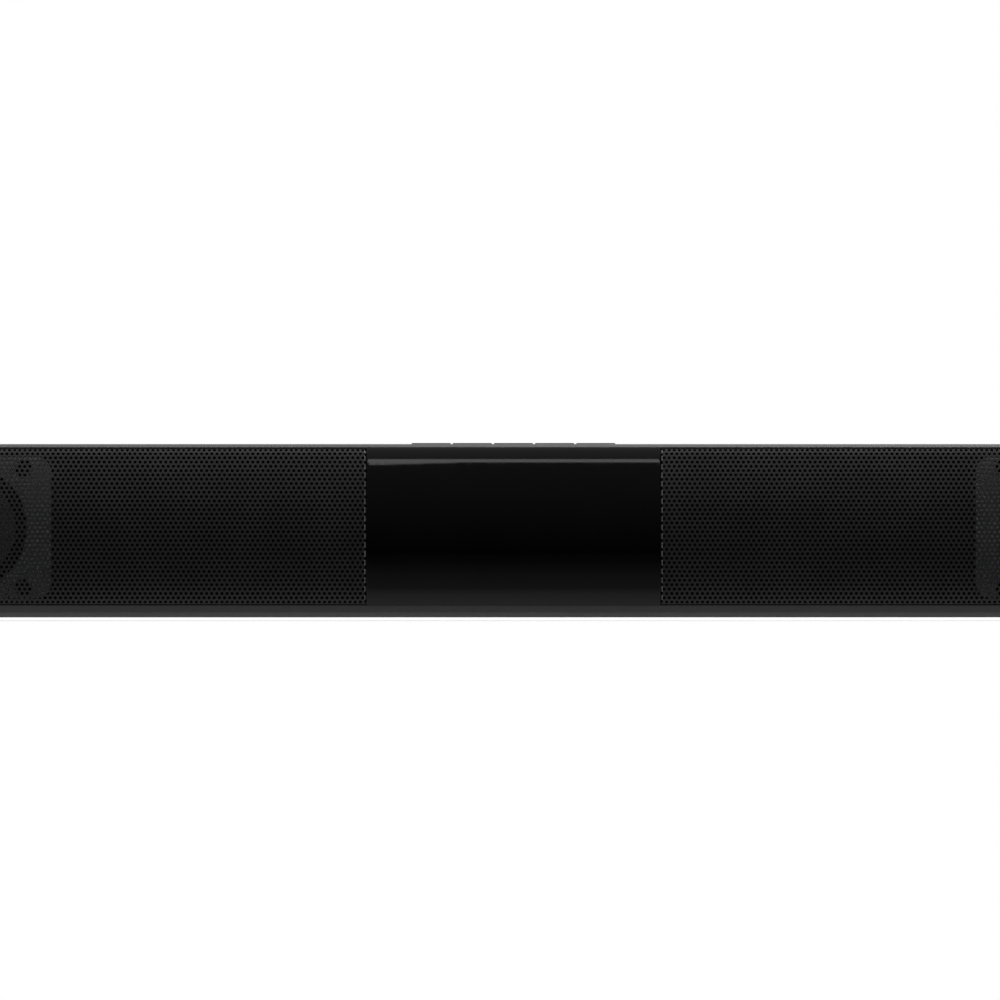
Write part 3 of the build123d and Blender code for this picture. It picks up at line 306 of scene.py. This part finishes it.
def circuit_board():
    """Green lacquer with tracks along X."""
    look = Look("circuit_board", IOR=1.55, Coat_Weight=0.4)
    tracks = look.noise(260.0, 1.0, stretch=(0.3, 1.0, 1.0))
    look.colour(look.ramp(tracks, (0.010, 0.075, 0.030), (0.018, 0.120, 0.048), 0.48, 0.52))
    look.rough(look.ramp(look.noise(800.0), 0.3, 0.45))
    look.bump(look.noise(260.0, 1.0, stretch=(0.3, 1.0, 1.0)), 0.00003, 0.5)
    return look.material


def ferrite():
    look = Look("motor_iron", IOR=1.7, Metallic=0.35)
    look.colour(look.ramp(look.noise(240.0, 5.0), (0.045, 0.045, 0.047), (0.10, 0.10, 0.105)))
    look.rough(look.ramp(look.noise(700.0, 4.0), 0.45, 0.7))
    look.bump(look.noise(1600.0, 3.0), 0.00003, 0.5)
    return look.material


def wear(material, nodes):
    """Gives every face of the CAD nodes one material."""
    for name in nodes:
        mesh = NODES[name].data
        mesh.materials.clear()
        mesh.materials.append(material)


def of_drivers(kind):
    return [f"driver_{kind}_{name}" for name in DRIVERS]


wear(
    moulded("housing_plastic", (0.074, 0.074, 0.076), (0.079, 0.079, 0.081), 0.42, 0.52),
    ["rear_housing", "end_cap_left", "end_cap_right", "port_panel"],
)
wear(
    moulded("baffle_plastic", (0.010, 0.010, 0.010), (0.014, 0.014, 0.014), 0.6, 0.75),
    ["front_baffle"],
)
wear(
    moulded("key_plastic", (0.070, 0.070, 0.072), (0.080, 0.080, 0.082), 0.38, 0.5),
    [f"button_{key}" for key in KEYS],
)
wear(
    moulded("switch_plastic", (0.012, 0.012, 0.012), (0.02, 0.02, 0.02), 0.4, 0.55),
    ["tact_switches", "dc_inlet", "aux_jack", *[f"plunger_{key}" for key in KEYS]],
)
GLOSS = gloss_black()
wear(GLOSS, ["centre_panel"])
PAINT = painted_sheet()
CUT_STEEL = plated("cut_steel", (0.62, 0.62, 0.62), (0.74, 0.74, 0.74), 0.45, 0.6, 0.2)
wear(PAINT, ["grille_left", "grille_right"])
wear(
    plated("dull_zinc", (0.66, 0.66, 0.67), (0.78, 0.78, 0.79), 0.5, 0.65, 0.2),
    of_drivers("frame"),
)
wear(plated("bright_tin", (0.60, 0.60, 0.60), (0.72, 0.72, 0.71), 0.22, 0.36), ["usb_socket"])
wear(ferrite(), of_drivers("motor"))
wear(paper_pulp(), [*of_drivers("cone"), *of_drivers("dust_cap")])
RUBBER = rubber("black_rubber", 0.012)
wear(RUBBER, [*of_drivers("surround"), *FEET])
SPIDER_CLOTH = cloth("spider_cloth", (0.30, 0.22, 0.11), (0.48, 0.37, 0.21), 1400.0)
wear(SPIDER_CLOTH, of_drivers("spider"))
wear(
    cloth("gasket_foam", (0.010, 0.010, 0.010), (0.022, 0.022, 0.022), 2600.0),
    ["driver_gaskets"],
)
wear(circuit_board(), ["main_board", "button_board"])
wear(plated("sink_aluminium", (0.60, 0.60, 0.61), (0.75, 0.75, 0.76), 0.3, 0.45), ["heat_sink"])
wear(
    moulded("capacitor_sleeve", (0.010, 0.014, 0.03), (0.016, 0.022, 0.045), 0.2, 0.32, 0.000005),
    ["capacitors"],
)
wear(plated("black_zinc", (0.030, 0.030, 0.032), (0.055, 0.055, 0.058), 0.35, 0.5), SCREWS)


# The front's section, shared by the perforated sheets and the gloss panel
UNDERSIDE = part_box("rear_housing")[0].z / MM
HOUSING_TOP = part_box("rear_housing")[1].z / MM
CREST_Z = UNDERSIDE + CREST_HEIGHT
FACE_RISE = HOUSING_TOP - CREST_Z - TOP_ROLL_RADIUS
FACE_RADIUS = TOP_ROLL_RADIUS + (FACE_RISE**2 + FACE_BOW**2) / (2 * FACE_BOW)
FACE_CENTRE_Y = cad_box[0].y / MM + FACE_RADIUS


def roll(rise, radius, way):
    """Slope in radians where an edge roll leaves the face arc, and the roll's centre."""
    reach = FACE_RADIUS - radius
    slope = math.asin((rise - radius) / reach)
    centre_y = FACE_CENTRE_Y - reach * math.cos(slope)
    return slope, (centre_y, CREST_Z + way * reach * math.sin(slope))


TOP_SLOPE, TOP_CENTRE = roll(HOUSING_TOP - CREST_Z, TOP_ROLL_RADIUS, 1)
BOTTOM_SLOPE, BOTTOM_CENTRE = roll(CREST_HEIGHT - BOTTOM_ROLL_LIFT, BOTTOM_ROLL_RADIUS, -1)
TOP_FOLD = math.radians(TOP_ROLL_END)
BOTTOM_FOLD_DROP = BOTTOM_ROLL_RADIUS * math.sin(math.radians(BOTTOM_ROLL_END))


def stretches(inset):
    """The front's three arcs, top to bottom: centre, radius, slope at the start and at the end."""
    bottom_radius = BOTTOM_ROLL_RADIUS - inset
    bottom_fold = math.asin(BOTTOM_FOLD_DROP / bottom_radius)
    return (
        (TOP_CENTRE, TOP_ROLL_RADIUS - inset, TOP_FOLD, TOP_SLOPE),
        ((FACE_CENTRE_Y, CREST_Z), FACE_RADIUS - inset, TOP_SLOPE, -BOTTOM_SLOPE),
        (BOTTOM_CENTRE, bottom_radius, -BOTTOM_SLOPE, -bottom_fold),
    )


def length_of(arcs):
    return sum(radius * (start - end) for _, radius, start, end in arcs)


def on_front(arcs, along, depth):
    """Y and Z of a point, by the distance down the arcs and the depth below them."""
    for centre, radius, start, end in arcs:
        length = radius * (start - end)
        if along <= length + SAME_PLACE:
            break
        along -= length
    slope = start - min(along, length) / radius
    inner = radius - depth
    return centre[0] - inner * math.cos(slope), centre[1] + inner * math.sin(slope)


def placed(name, points, faces, materials):
    """Links a new object with a mesh from points in millimetres."""
    mesh = bpy.data.meshes.new(name)
    mesh.from_pydata([Vector(point) * MM for point in points], [], faces)
    for material in materials:
        mesh.materials.append(material)
    piece = bpy.data.objects.new(name, mesh)
    bpy.context.scene.collection.objects.link(piece)
    return piece


# Fine perforated sheets in place of the coarse CAD ones
SHEET_ARCS = stretches(GRILLE_INSET)
SHEET_LENGTH = length_of(SHEET_ARCS)


class Sheet:
    """Mesh of one stretch of perforated sheet: matching points on its outer and inner faces."""

    def __init__(self, start, pitch, sheared):
        self.start, self.pitch, self.sheared = start, pitch, sheared
        self.flat = []
        self.index = {}
        self.outer, self.walls, self.ends = [], [], []
        depth = SHEET_LENGTH - TOP_ROW_MARGIN - BOTTOM_ROW_MARGIN
        gaps = round(depth / (HOLE_PITCH * math.sin(math.pi / 3)))
        self.rows = gaps + 1
        self.row_pitch = depth / gaps

    def point(self, key, x, along):
        if key not in self.index:
            self.index[key] = len(self.flat)
            self.flat.append((x, along))
        return self.index[key]

    def corner(self, step, third):
        """Corner of a cell, by half pitches along the sheet and thirds of a row down it."""
        along = TOP_ROW_MARGIN + third * self.row_pitch / 3
        if third < 0:
            along, third = 0.0, -1
        if third > 3 * (self.rows - 1):
            along, third = SHEET_LENGTH, 3 * self.rows
        return self.point((step, third), self.start + step * self.pitch / 2, along)

    def cell(self, step, row, first=0, last=6):
        """One hole with the hexagon of sheet round it, or the half of it between two corners."""
        middle_x = self.start + step * self.pitch / 2
        middle_along = TOP_ROW_MARGIN + row * self.row_pitch
        offsets = ((0, -2), (1, -1), (1, 1), (0, 2), (-1, 1), (-1, -1), (0, -2))
        corners = [self.corner(step + dx, 3 * row + dz) for dx, dz in offsets[first : last + 1]]
        rim = []
        for k in range(2 * first, 2 * last + 1):
            angle = math.radians(360 / HOLE_SIDES * k)
            x = middle_x + HOLE_RADIUS * math.sin(angle)
            along = middle_along - HOLE_RADIUS * math.cos(angle)
            rim.append(self.point((step, row, k % HOLE_SIDES, "rim"), x, along))
        for k in range(last - first):
            self.outer.append((corners[k], *rim[2 * k : 2 * k + 3], corners[k + 1]))
        self.walls += zip(rim[1:], rim[:-1])
        return corners, rim

    def fill(self, steps):
        """Staggered rows of cells from the first half pitch to the last."""
        for row in range(self.rows):
            if row % 2 == 0:
                for step in range(1, steps, 2):
                    self.cell(step, row)
                third = 3 * row
                self.ends.append((self.corner(0, third + 1), self.corner(0, third - 1)))
                self.ends.append((self.corner(steps, third - 1), self.corner(steps, third + 1)))
                continue
            for step in range(2, steps, 2):
                self.cell(step, row)
            for corners, rim in (self.cell(0, row, 0, 3), self.cell(steps, row, 3, 6)):
                self.ends += [(rim[0], corners[0]), (corners[-1], rim[-1])]

    def is_sheared(self, x):
        return abs(x - self.sheared) < SAME_PLACE

    def add_return(self, points, faces, line, way):
        """Level strip behind a fold, from the fold's outer and inner points."""
        base, count = len(points), len(line)
        points += [(points[i][0], points[i][1] + GRILLE_RETURN, points[i][2]) for i in line]
        ring = []
        for i in range(count):
            after = (i + 1) % count
            ring.append((line[i], line[after], base + after, base + i))
        for i in range(count // 2 - 1):
            ring.append((base + i, base + i + 1, base + count - 2 - i, base + count - 1 - i))
        faces += [face if way > 0 else tuple(reversed(face)) for face in ring]

    def piece(self, name, steps):
        """The sheet as an object; the end walls come first, so that the sheared ones are bare."""
        count = len(self.flat)
        middle = self.start + steps * self.pitch / 4
        points = []
        for depth in (0.0, GRILLE_THICKNESS):
            for x, along in self.flat:
                slope = SHEARED_SLOPE if depth == 0.0 and self.is_sheared(x) else 0.0
                x += math.copysign(slope, middle - x)
                points.append((x, *on_front(SHEET_ARCS, along, depth)))
        faces = [(a, b, b + count, a + count) for a, b in self.ends]
        faces += self.outer
        faces += [tuple(i + count for i in reversed(face)) for face in self.outer]
        faces += [(a, b, b + count, a + count) for a, b in self.walls]
        for third, way in ((-1, 1), (3 * self.rows, -1)):
            keys = [(step, third) for step in range(steps + 1)]
            line = [self.index[key] for key in keys if key in self.index]
            self.add_return(points, faces, line + [i + count for i in reversed(line)], way)
        piece = placed(name, points, faces, (PAINT, CUT_STEEL))
        for polygon, (a, _) in zip(piece.data.polygons, self.ends):
            polygon.material_index = int(self.is_sheared(self.flat[a][0]))
        piece.data.update()
        return piece


def perforated(node, half, x_from, x_to, sheared):
    """Half of a grille, as a sheet with its true holes and a bare sheared edge beside the panel."""
    steps = 2 * round((x_to - x_from) / HOLE_PITCH)
    sheet = Sheet(x_from, 2 * (x_to - x_from) / steps, sheared)
    sheet.fill(steps)
    piece = sheet.piece(f"{node}_{half}_sheet", steps)
    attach(piece, "cabinet")
    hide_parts(node)


for grille, panel_end in (("grille_left", 1), ("grille_right", 0)):
    edges = [corner.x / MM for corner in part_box(grille)]
    middle = sum(edges) / 2
    perforated(grille, "west", edges[0], middle, edges[panel_end])
    perforated(grille, "east", middle, edges[1], edges[panel_end])


# Gloss panel with a true smooth curve in place of the faceted CAD one
def add_shell(points, faces, rings, capped=True):
    """Joins rings of equal length into a shell, and caps its ends."""
    base, count = len(points), len(rings[0])
    points += [point for ring in rings for point in ring]
    for level in range(len(rings) - 1):
        low = base + level * count
        for k in range(count):
            after = (k + 1) % count
            faces.append((low + k, low + after, low + count + after, low + count + k))
    if not capped:
        return
    faces.append(tuple(base + k for k in reversed(range(count))))
    faces.append(tuple(base + (len(rings) - 1) * count + k for k in range(count)))


def circle(x, z, y, radius):
    turns = [2 * math.pi * k / POST_SIDES for k in range(POST_SIDES)]
    return [(x + radius * math.cos(t), y, z + radius * math.sin(t)) for t in turns]


def shade(mesh, sharp):
    """Smooth, with edges left sharp beyond an angle in degrees."""
    mesh.shade_smooth()
    mesh.set_sharp_from_angle(angle=math.radians(sharp))


def gloss_panel(node):
    """Curved skin with rounded side edges, a cheek behind each edge, and bored screw posts."""
    arcs = stretches(0.0)
    alongs = [length_of(arcs) * k / PANEL_STEPS for k in range(PANEL_STEPS + 1)]
    roots = [on_front(arcs, along, PANEL_ROOT) for along in alongs]
    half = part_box(node)[1].x / MM
    points, faces = [], []

    def skin(x, depth):
        front = [(x, *on_front(arcs, along, depth)) for along in alongs]
        back = [(x, *on_front(arcs, along, PANEL_THICKNESS)) for along in reversed(alongs)]
        return front + back

    edge = []
    for turn in map(math.radians, PANEL_EDGE_TURNS):
        inwards, depth = 1 - math.cos(turn), 1 - math.sin(turn)
        edge.append((half - PANEL_EDGE_RADIUS * inwards, PANEL_EDGE_RADIUS * depth))
    # A narrow band beside the rounding keeps the wide face's shading flat
    edge.append((half - 2 * PANEL_EDGE_RADIUS, 0.0))
    rings = [skin(-x, depth) for x, depth in edge]
    rings += [skin(x, depth) for x, depth in reversed(edge)]
    add_shell(points, faces, rings)
    for side in (-1, 1):
        ring = roots[CHEEK_STRIDE:-CHEEK_STRIDE:CHEEK_STRIDE]
        ring += [(PANEL_SEAT, ring[-1][1]), (PANEL_SEAT, ring[0][1])]
        places = sorted((side * half, side * (half - PANEL_CHEEK)))
        add_shell(points, faces, [[(x, y, z) for y, z in ring] for x in places])
    for x, lift in PANEL_POSTS:
        z = CREST_Z + lift
        root_y = min(roots, key=lambda root: abs(root[1] - z))[0]
        floor_y = PANEL_SEAT - POST_BORE_DEPTH
        rings = [circle(x, z, root_y, POST_RADIUS), circle(x, z, PANEL_SEAT, POST_RADIUS)]
        rings += [circle(x, z, PANEL_SEAT, POST_BORE), circle(x, z, floor_y, POST_BORE)]
        add_shell(points, faces, [ring[::-1] for ring in rings])
    piece = placed("centre_panel_gloss", points, faces, (GLOSS,))
    shade(piece.data, PANEL_SHARP)
    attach(piece, "cabinet")
    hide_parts(node)


gloss_panel("centre_panel")


# Surrounds and spiders, as turned rings in place of the CAD ones
def arc(centre, radius, start, end):
    """Radius and depth of points along an arc, by angles from outwards to forwards."""
    turns = [math.radians(start + (end - start) * k / ROLL_STEPS) for k in range(ROLL_STEPS + 1)]
    return [(centre[0] + radius * math.cos(t), centre[1] - radius * math.sin(t)) for t in turns]


def surround_section(back):
    """Half roll with a lip on the frame's shelf and a lap on the cone's rim."""
    front = back - SURROUND_SKIN
    big = SURROUND_ROLL + SURROUND_SKIN
    under = (SURROUND_ROLL**2 + big**2) / (2 * big)
    dip = math.degrees(math.acos(SURROUND_ROLL / under))
    section = [(SURROUND_OUTER, front), *arc((SURROUND_MIDDLE, front), big, 0, 180)]
    section += [(SURROUND_INNER, front), (SURROUND_INNER, back)]
    section += arc((SURROUND_MIDDLE, back - big + under), under, 180 + dip, -dip)
    return [*section, (SURROUND_OUTER, back)]


def spider_section(seat):
    """Round corrugations between the coil's neck and the basket's back."""
    middle = seat - SPIDER_FOLD_HEIGHT
    pitch = (SPIDER_SEAT - SPIDER_NECK) / SPIDER_FOLDS
    turning = [(SPIDER_INNER, middle), (SPIDER_NECK, middle)]
    for fold in range(SPIDER_FOLDS):
        way = 1 if fold % 2 else -1
        radius = SPIDER_NECK + (fold + 0.5) * pitch
        turning.append((radius, middle + way * SPIDER_FOLD_HEIGHT / 2))
    turning += [(SPIDER_SEAT, seat), (SPIDER_OUTER, seat)]
    line = [turning[0]]
    for (near, near_depth), (far, far_depth) in zip(turning, turning[1:]):
        for k in range(1, FOLD_STEPS + 1):
            sway = (1 - math.cos(math.pi * k / FOLD_STEPS)) / 2
            radius = near + (far - near) * k / FOLD_STEPS
            line.append((radius, near_depth + (far_depth - near_depth) * sway))
    return [(radius, depth - SPIDER_SKIN) for radius, depth in line] + line[::-1]


def flexing_ring(node, section, material):
    """Turned ring in place of a node, built in sectors that are then joined and welded.
    """
    low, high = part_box(node)
    hub = (low + high) / 2
    hub_x, hub_z = hub.x / MM, hub.z / MM
    span = 2 * math.pi / RING_SECTORS
    sectors = []
    for number in range(RING_SECTORS):
        rings = []
        for k in range(SECTOR_STEPS + 1):
            t = span * (number + k / SECTOR_STEPS)
            across, up = math.cos(t), math.sin(t)
            rings.append([(hub_x + r * across, y, hub_z + r * up) for r, y in section])
        points, faces = [], []
        add_shell(points, faces, rings, capped=False)
        sector = placed(f"{node}_flexing", points, faces, (material,))
        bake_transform(sector)
        sectors.append(sector)
    ring = sectors[0]
    chosen = {"active_object": ring, "object": ring, "selected_editable_objects": sectors}
    with bpy.context.temp_override(**chosen):
        bpy.ops.object.join()
    welded = bmesh.new()
    welded.from_mesh(ring.data)
    bmesh.ops.remove_doubles(welded, verts=welded.verts, dist=RING_WELD * MM)
    bmesh.ops.recalc_face_normals(welded, faces=welded.faces)
    welded.to_mesh(ring.data)
    welded.free()
    shade(ring.data, RING_SHARP)
    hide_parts(node)


for driver in DRIVERS:
    node = f"driver_surround_{driver}"
    section = surround_section(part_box(node)[1].y / MM)
    flexing_ring(node, section, RUBBER)
    node = f"driver_spider_{driver}"
    section = spider_section(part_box(node)[1].y / MM)
    flexing_ring(node, section, SPIDER_CLOTH)


# Studio: world, floor, light and camera
class Tree:
    """Shorthand for the node trees of the world and the floor."""

    def __init__(self, owner):
        owner.use_nodes = True
        self.tree = owner.node_tree
        self.tree.nodes.clear()

    def add(self, kind, inputs=(), **settings):
        node = self.tree.nodes.new(kind)
        for key, value in settings.items():
            setattr(node, key, value)
        for socket, value in inputs:
            if isinstance(value, bpy.types.NodeSocket):
                self.tree.links.new(value, node.inputs[socket])
            else:
                node.inputs[socket].default_value = value
        return node.outputs

    def ramp(self, source, stops):
        node = self.tree.nodes.new("ShaderNodeValToRGB")
        elements = node.color_ramp.elements
        while len(elements) < len(stops):
            elements.new(0.5)
        for element, (position, level) in zip(elements, stops):
            element.position = position
            element.color = (level, level, level, 1.0)
        self.tree.links.new(source, node.inputs["Fac"])
        return node.outputs["Color"]

    def span(self, source, low, high, first, last):
        given = (("Value", source), ("From Min", low), ("From Max", high))
        wanted = (("To Min", first), ("To Max", last))
        return self.add("ShaderNodeMapRange", (*given, *wanted))["Result"]

    def math(self, operation, first, second):
        return self.add("ShaderNodeMath", ((0, first), (1, second)), operation=operation)[0]

    def mix(self, factor, first, second):
        values = (("Factor", factor), ("A", first), ("B", second))
        return self.add("ShaderNodeMix", values, data_type="RGBA")["Result"]

    def rays(self):
        """Whether a ray comes from the camera, a mirror or glass, or a dull surface."""
        path = self.add("ShaderNodeLightPath")
        mirror = self.math("MAXIMUM", path["Is Glossy Ray"], path["Is Transmission Ray"])
        return path["Is Camera Ray"], mirror, path["Is Diffuse Ray"]


def studio_world():
    """A white sweep behind the object and a dim room in front; white all round to the camera."""
    world = bpy.data.worlds.new("studio")
    bpy.context.scene.world = world
    tree = Tree(world)
    place = tree.add("ShaderNodeTexCoord")["Generated"]
    split = tree.add("ShaderNodeSeparateXYZ", ((0, place),))
    height = tree.span(split["Z"], -1.0, 1.0, 0.0, 1.0)
    room = tree.ramp(height, ROOM)
    back = tree.span(split["Y"], *SWEEP_BACK, 0.0, 1.0)
    low = tree.span(split["Z"], *SWEEP_HEIGHT, 1.0, SWEEP_TOP)
    sweep = tree.math("MULTIPLY", back, low)
    camera_ray, mirror, diffuse = tree.rays()
    shown = tree.math("MAXIMUM", camera_ray, tree.math("MULTIPLY", mirror, sweep))
    dim = tree.mix(diffuse, room, ROOM_DIFFUSE)
    soft = tree.mix(back, dim, SWEEP_DIFFUSE)
    colour = tree.mix(shown, soft, WHITE)
    background = tree.add("ShaderNodeBackground", (("Color", colour),))[0]
    tree.add("ShaderNodeOutputWorld", (("Surface", background),))


def floor():
    """Pale paper that is solid under and behind the object, and fades out all round."""
    material = bpy.data.materials.new("floor_paper")
    tree = Tree(material)
    place = tree.add("ShaderNodeTexCoord")["Object"]
    split = tree.add("ShaderNodeSeparateXYZ", ((0, place),))
    start = cad_box[0].y + FLOOR_INSET
    front = tree.span(split["Y"], start, start - FLOOR_REACH, 0.0, 1.0)
    camera_ray, mirror, _ = tree.rays()
    shown = tree.math("MAXIMUM", camera_ray, mirror)
    ahead = tree.mix(shown, tree.ramp(front, FLOOR_LYING), tree.ramp(front, FLOOR_SEEN))
    reach = tree.add("ShaderNodeVectorMath", ((0, place),), operation="LENGTH")["Value"]
    alpha = tree.math("MULTIPLY", ahead, tree.span(reach, *FLOOR_FADE, 1.0, 0.0))
    texture = (("Vector", place), ("Scale", 40.0), ("Detail", 4.0))
    fibres = tree.ramp(tree.add("ShaderNodeTexNoise", texture)["Fac"], ((0.3, 0.80), (0.7, 0.84)))
    paper = tree.add("ShaderNodeBsdfDiffuse", (("Color", fibres),))[0]
    glow = tree.add("ShaderNodeEmission", (("Color", WHITE),))[0]
    lit = tree.math("MAXIMUM", mirror, tree.math("MULTIPLY", camera_ray, FLOOR_GLOW))
    surface = tree.add("ShaderNodeMixShader", ((0, lit), (1, paper), (2, glow)))[0]
    clear = tree.add("ShaderNodeBsdfTransparent")[0]
    faded = tree.add("ShaderNodeMixShader", ((0, alpha), (1, clear), (2, surface)))[0]
    tree.add("ShaderNodeOutputMaterial", (("Surface", faded),))
    mesh = bpy.data.meshes.new("floor")
    mesh.from_pydata(FLOOR_CORNERS, [], [(0, 1, 2, 3)])
    mesh.materials.append(material)
    piece = bpy.data.objects.new("floor", mesh)
    bpy.context.scene.collection.objects.link(piece)


def lamp(name, place, aim, width, height, level, mirrored=False):
    """Soft area light of a given brightness, turned towards a point."""
    light = bpy.data.lights.new(name, "AREA")
    light.shape = "RECTANGLE"
    light.size, light.size_y = width, height
    light.energy = level * math.pi * width * height
    piece = bpy.data.objects.new(name, light)
    piece.location = place
    piece.rotation_euler = (Vector(aim) - Vector(place)).to_track_quat("-Z", "Y").to_euler()
    piece.visible_camera = False
    piece.visible_glossy = mirrored
    bpy.context.scene.collection.objects.link(piece)


def strip_light(name, x, rise, width, height, level):
    """Narrow light in front, seen as a line along the top of the gloss panel."""
    edge = Vector((x, MIRROR_Y, MIRROR_Z))
    angle = math.radians(rise)
    place = edge + STRIP_DISTANCE * Vector((0.0, -math.cos(angle), math.sin(angle)))
    lamp(name, place, edge, width, height, level, mirrored=True)


def lights():
    for values in LAMPS:
        lamp(*values)
    strip_light("strip", 0.0, STRIP_RISE, STRIP_LENGTH, STRIP_HEIGHT, STRIP_LEVEL)
    for step, drop in enumerate(STRIP_END_DROPS):
        # The strip widens in steps towards the panel's left end
        below = math.degrees(math.atan((STRIP_HEIGHT + drop) / 2 / STRIP_DISTANCE))
        x = STRIP_END_X + STRIP_END_WIDTH * step
        rise = STRIP_RISE - below
        strip_light(f"strip_end_{step}", x, rise, STRIP_END_WIDTH, drop, STRIP_END_LEVEL)


def camera():
    """Level, square on, from far off, framed as the photograph is."""
    data = bpy.data.cameras.new("camera")
    data.sensor_width = SENSOR
    data.lens = SENSOR * CAMERA_DISTANCE / (FRAME_PIXELS * MM_PER_PIXEL * MM)
    data.clip_end = CAMERA_REACH
    piece = bpy.data.objects.new("camera", data)
    centre = FRAME_PIXELS / 2
    aim_x = (centre - MIDDLE_PIXEL_X) * MM_PER_PIXEL
    aim_z = UNDERSIDE + (UNDERSIDE_PIXEL_Y - centre) * MM_PER_PIXEL
    piece.location = (aim_x * MM, cad_box[0].y - CAMERA_DISTANCE, aim_z * MM)
    piece.rotation_euler = (math.radians(90), 0.0, 0.0)
    bpy.context.scene.collection.objects.link(piece)
    bpy.context.scene.camera = piece


studio_world()
lights()
floor()
camera()
bpy.context.scene.view_settings.view_transform = "Standard"
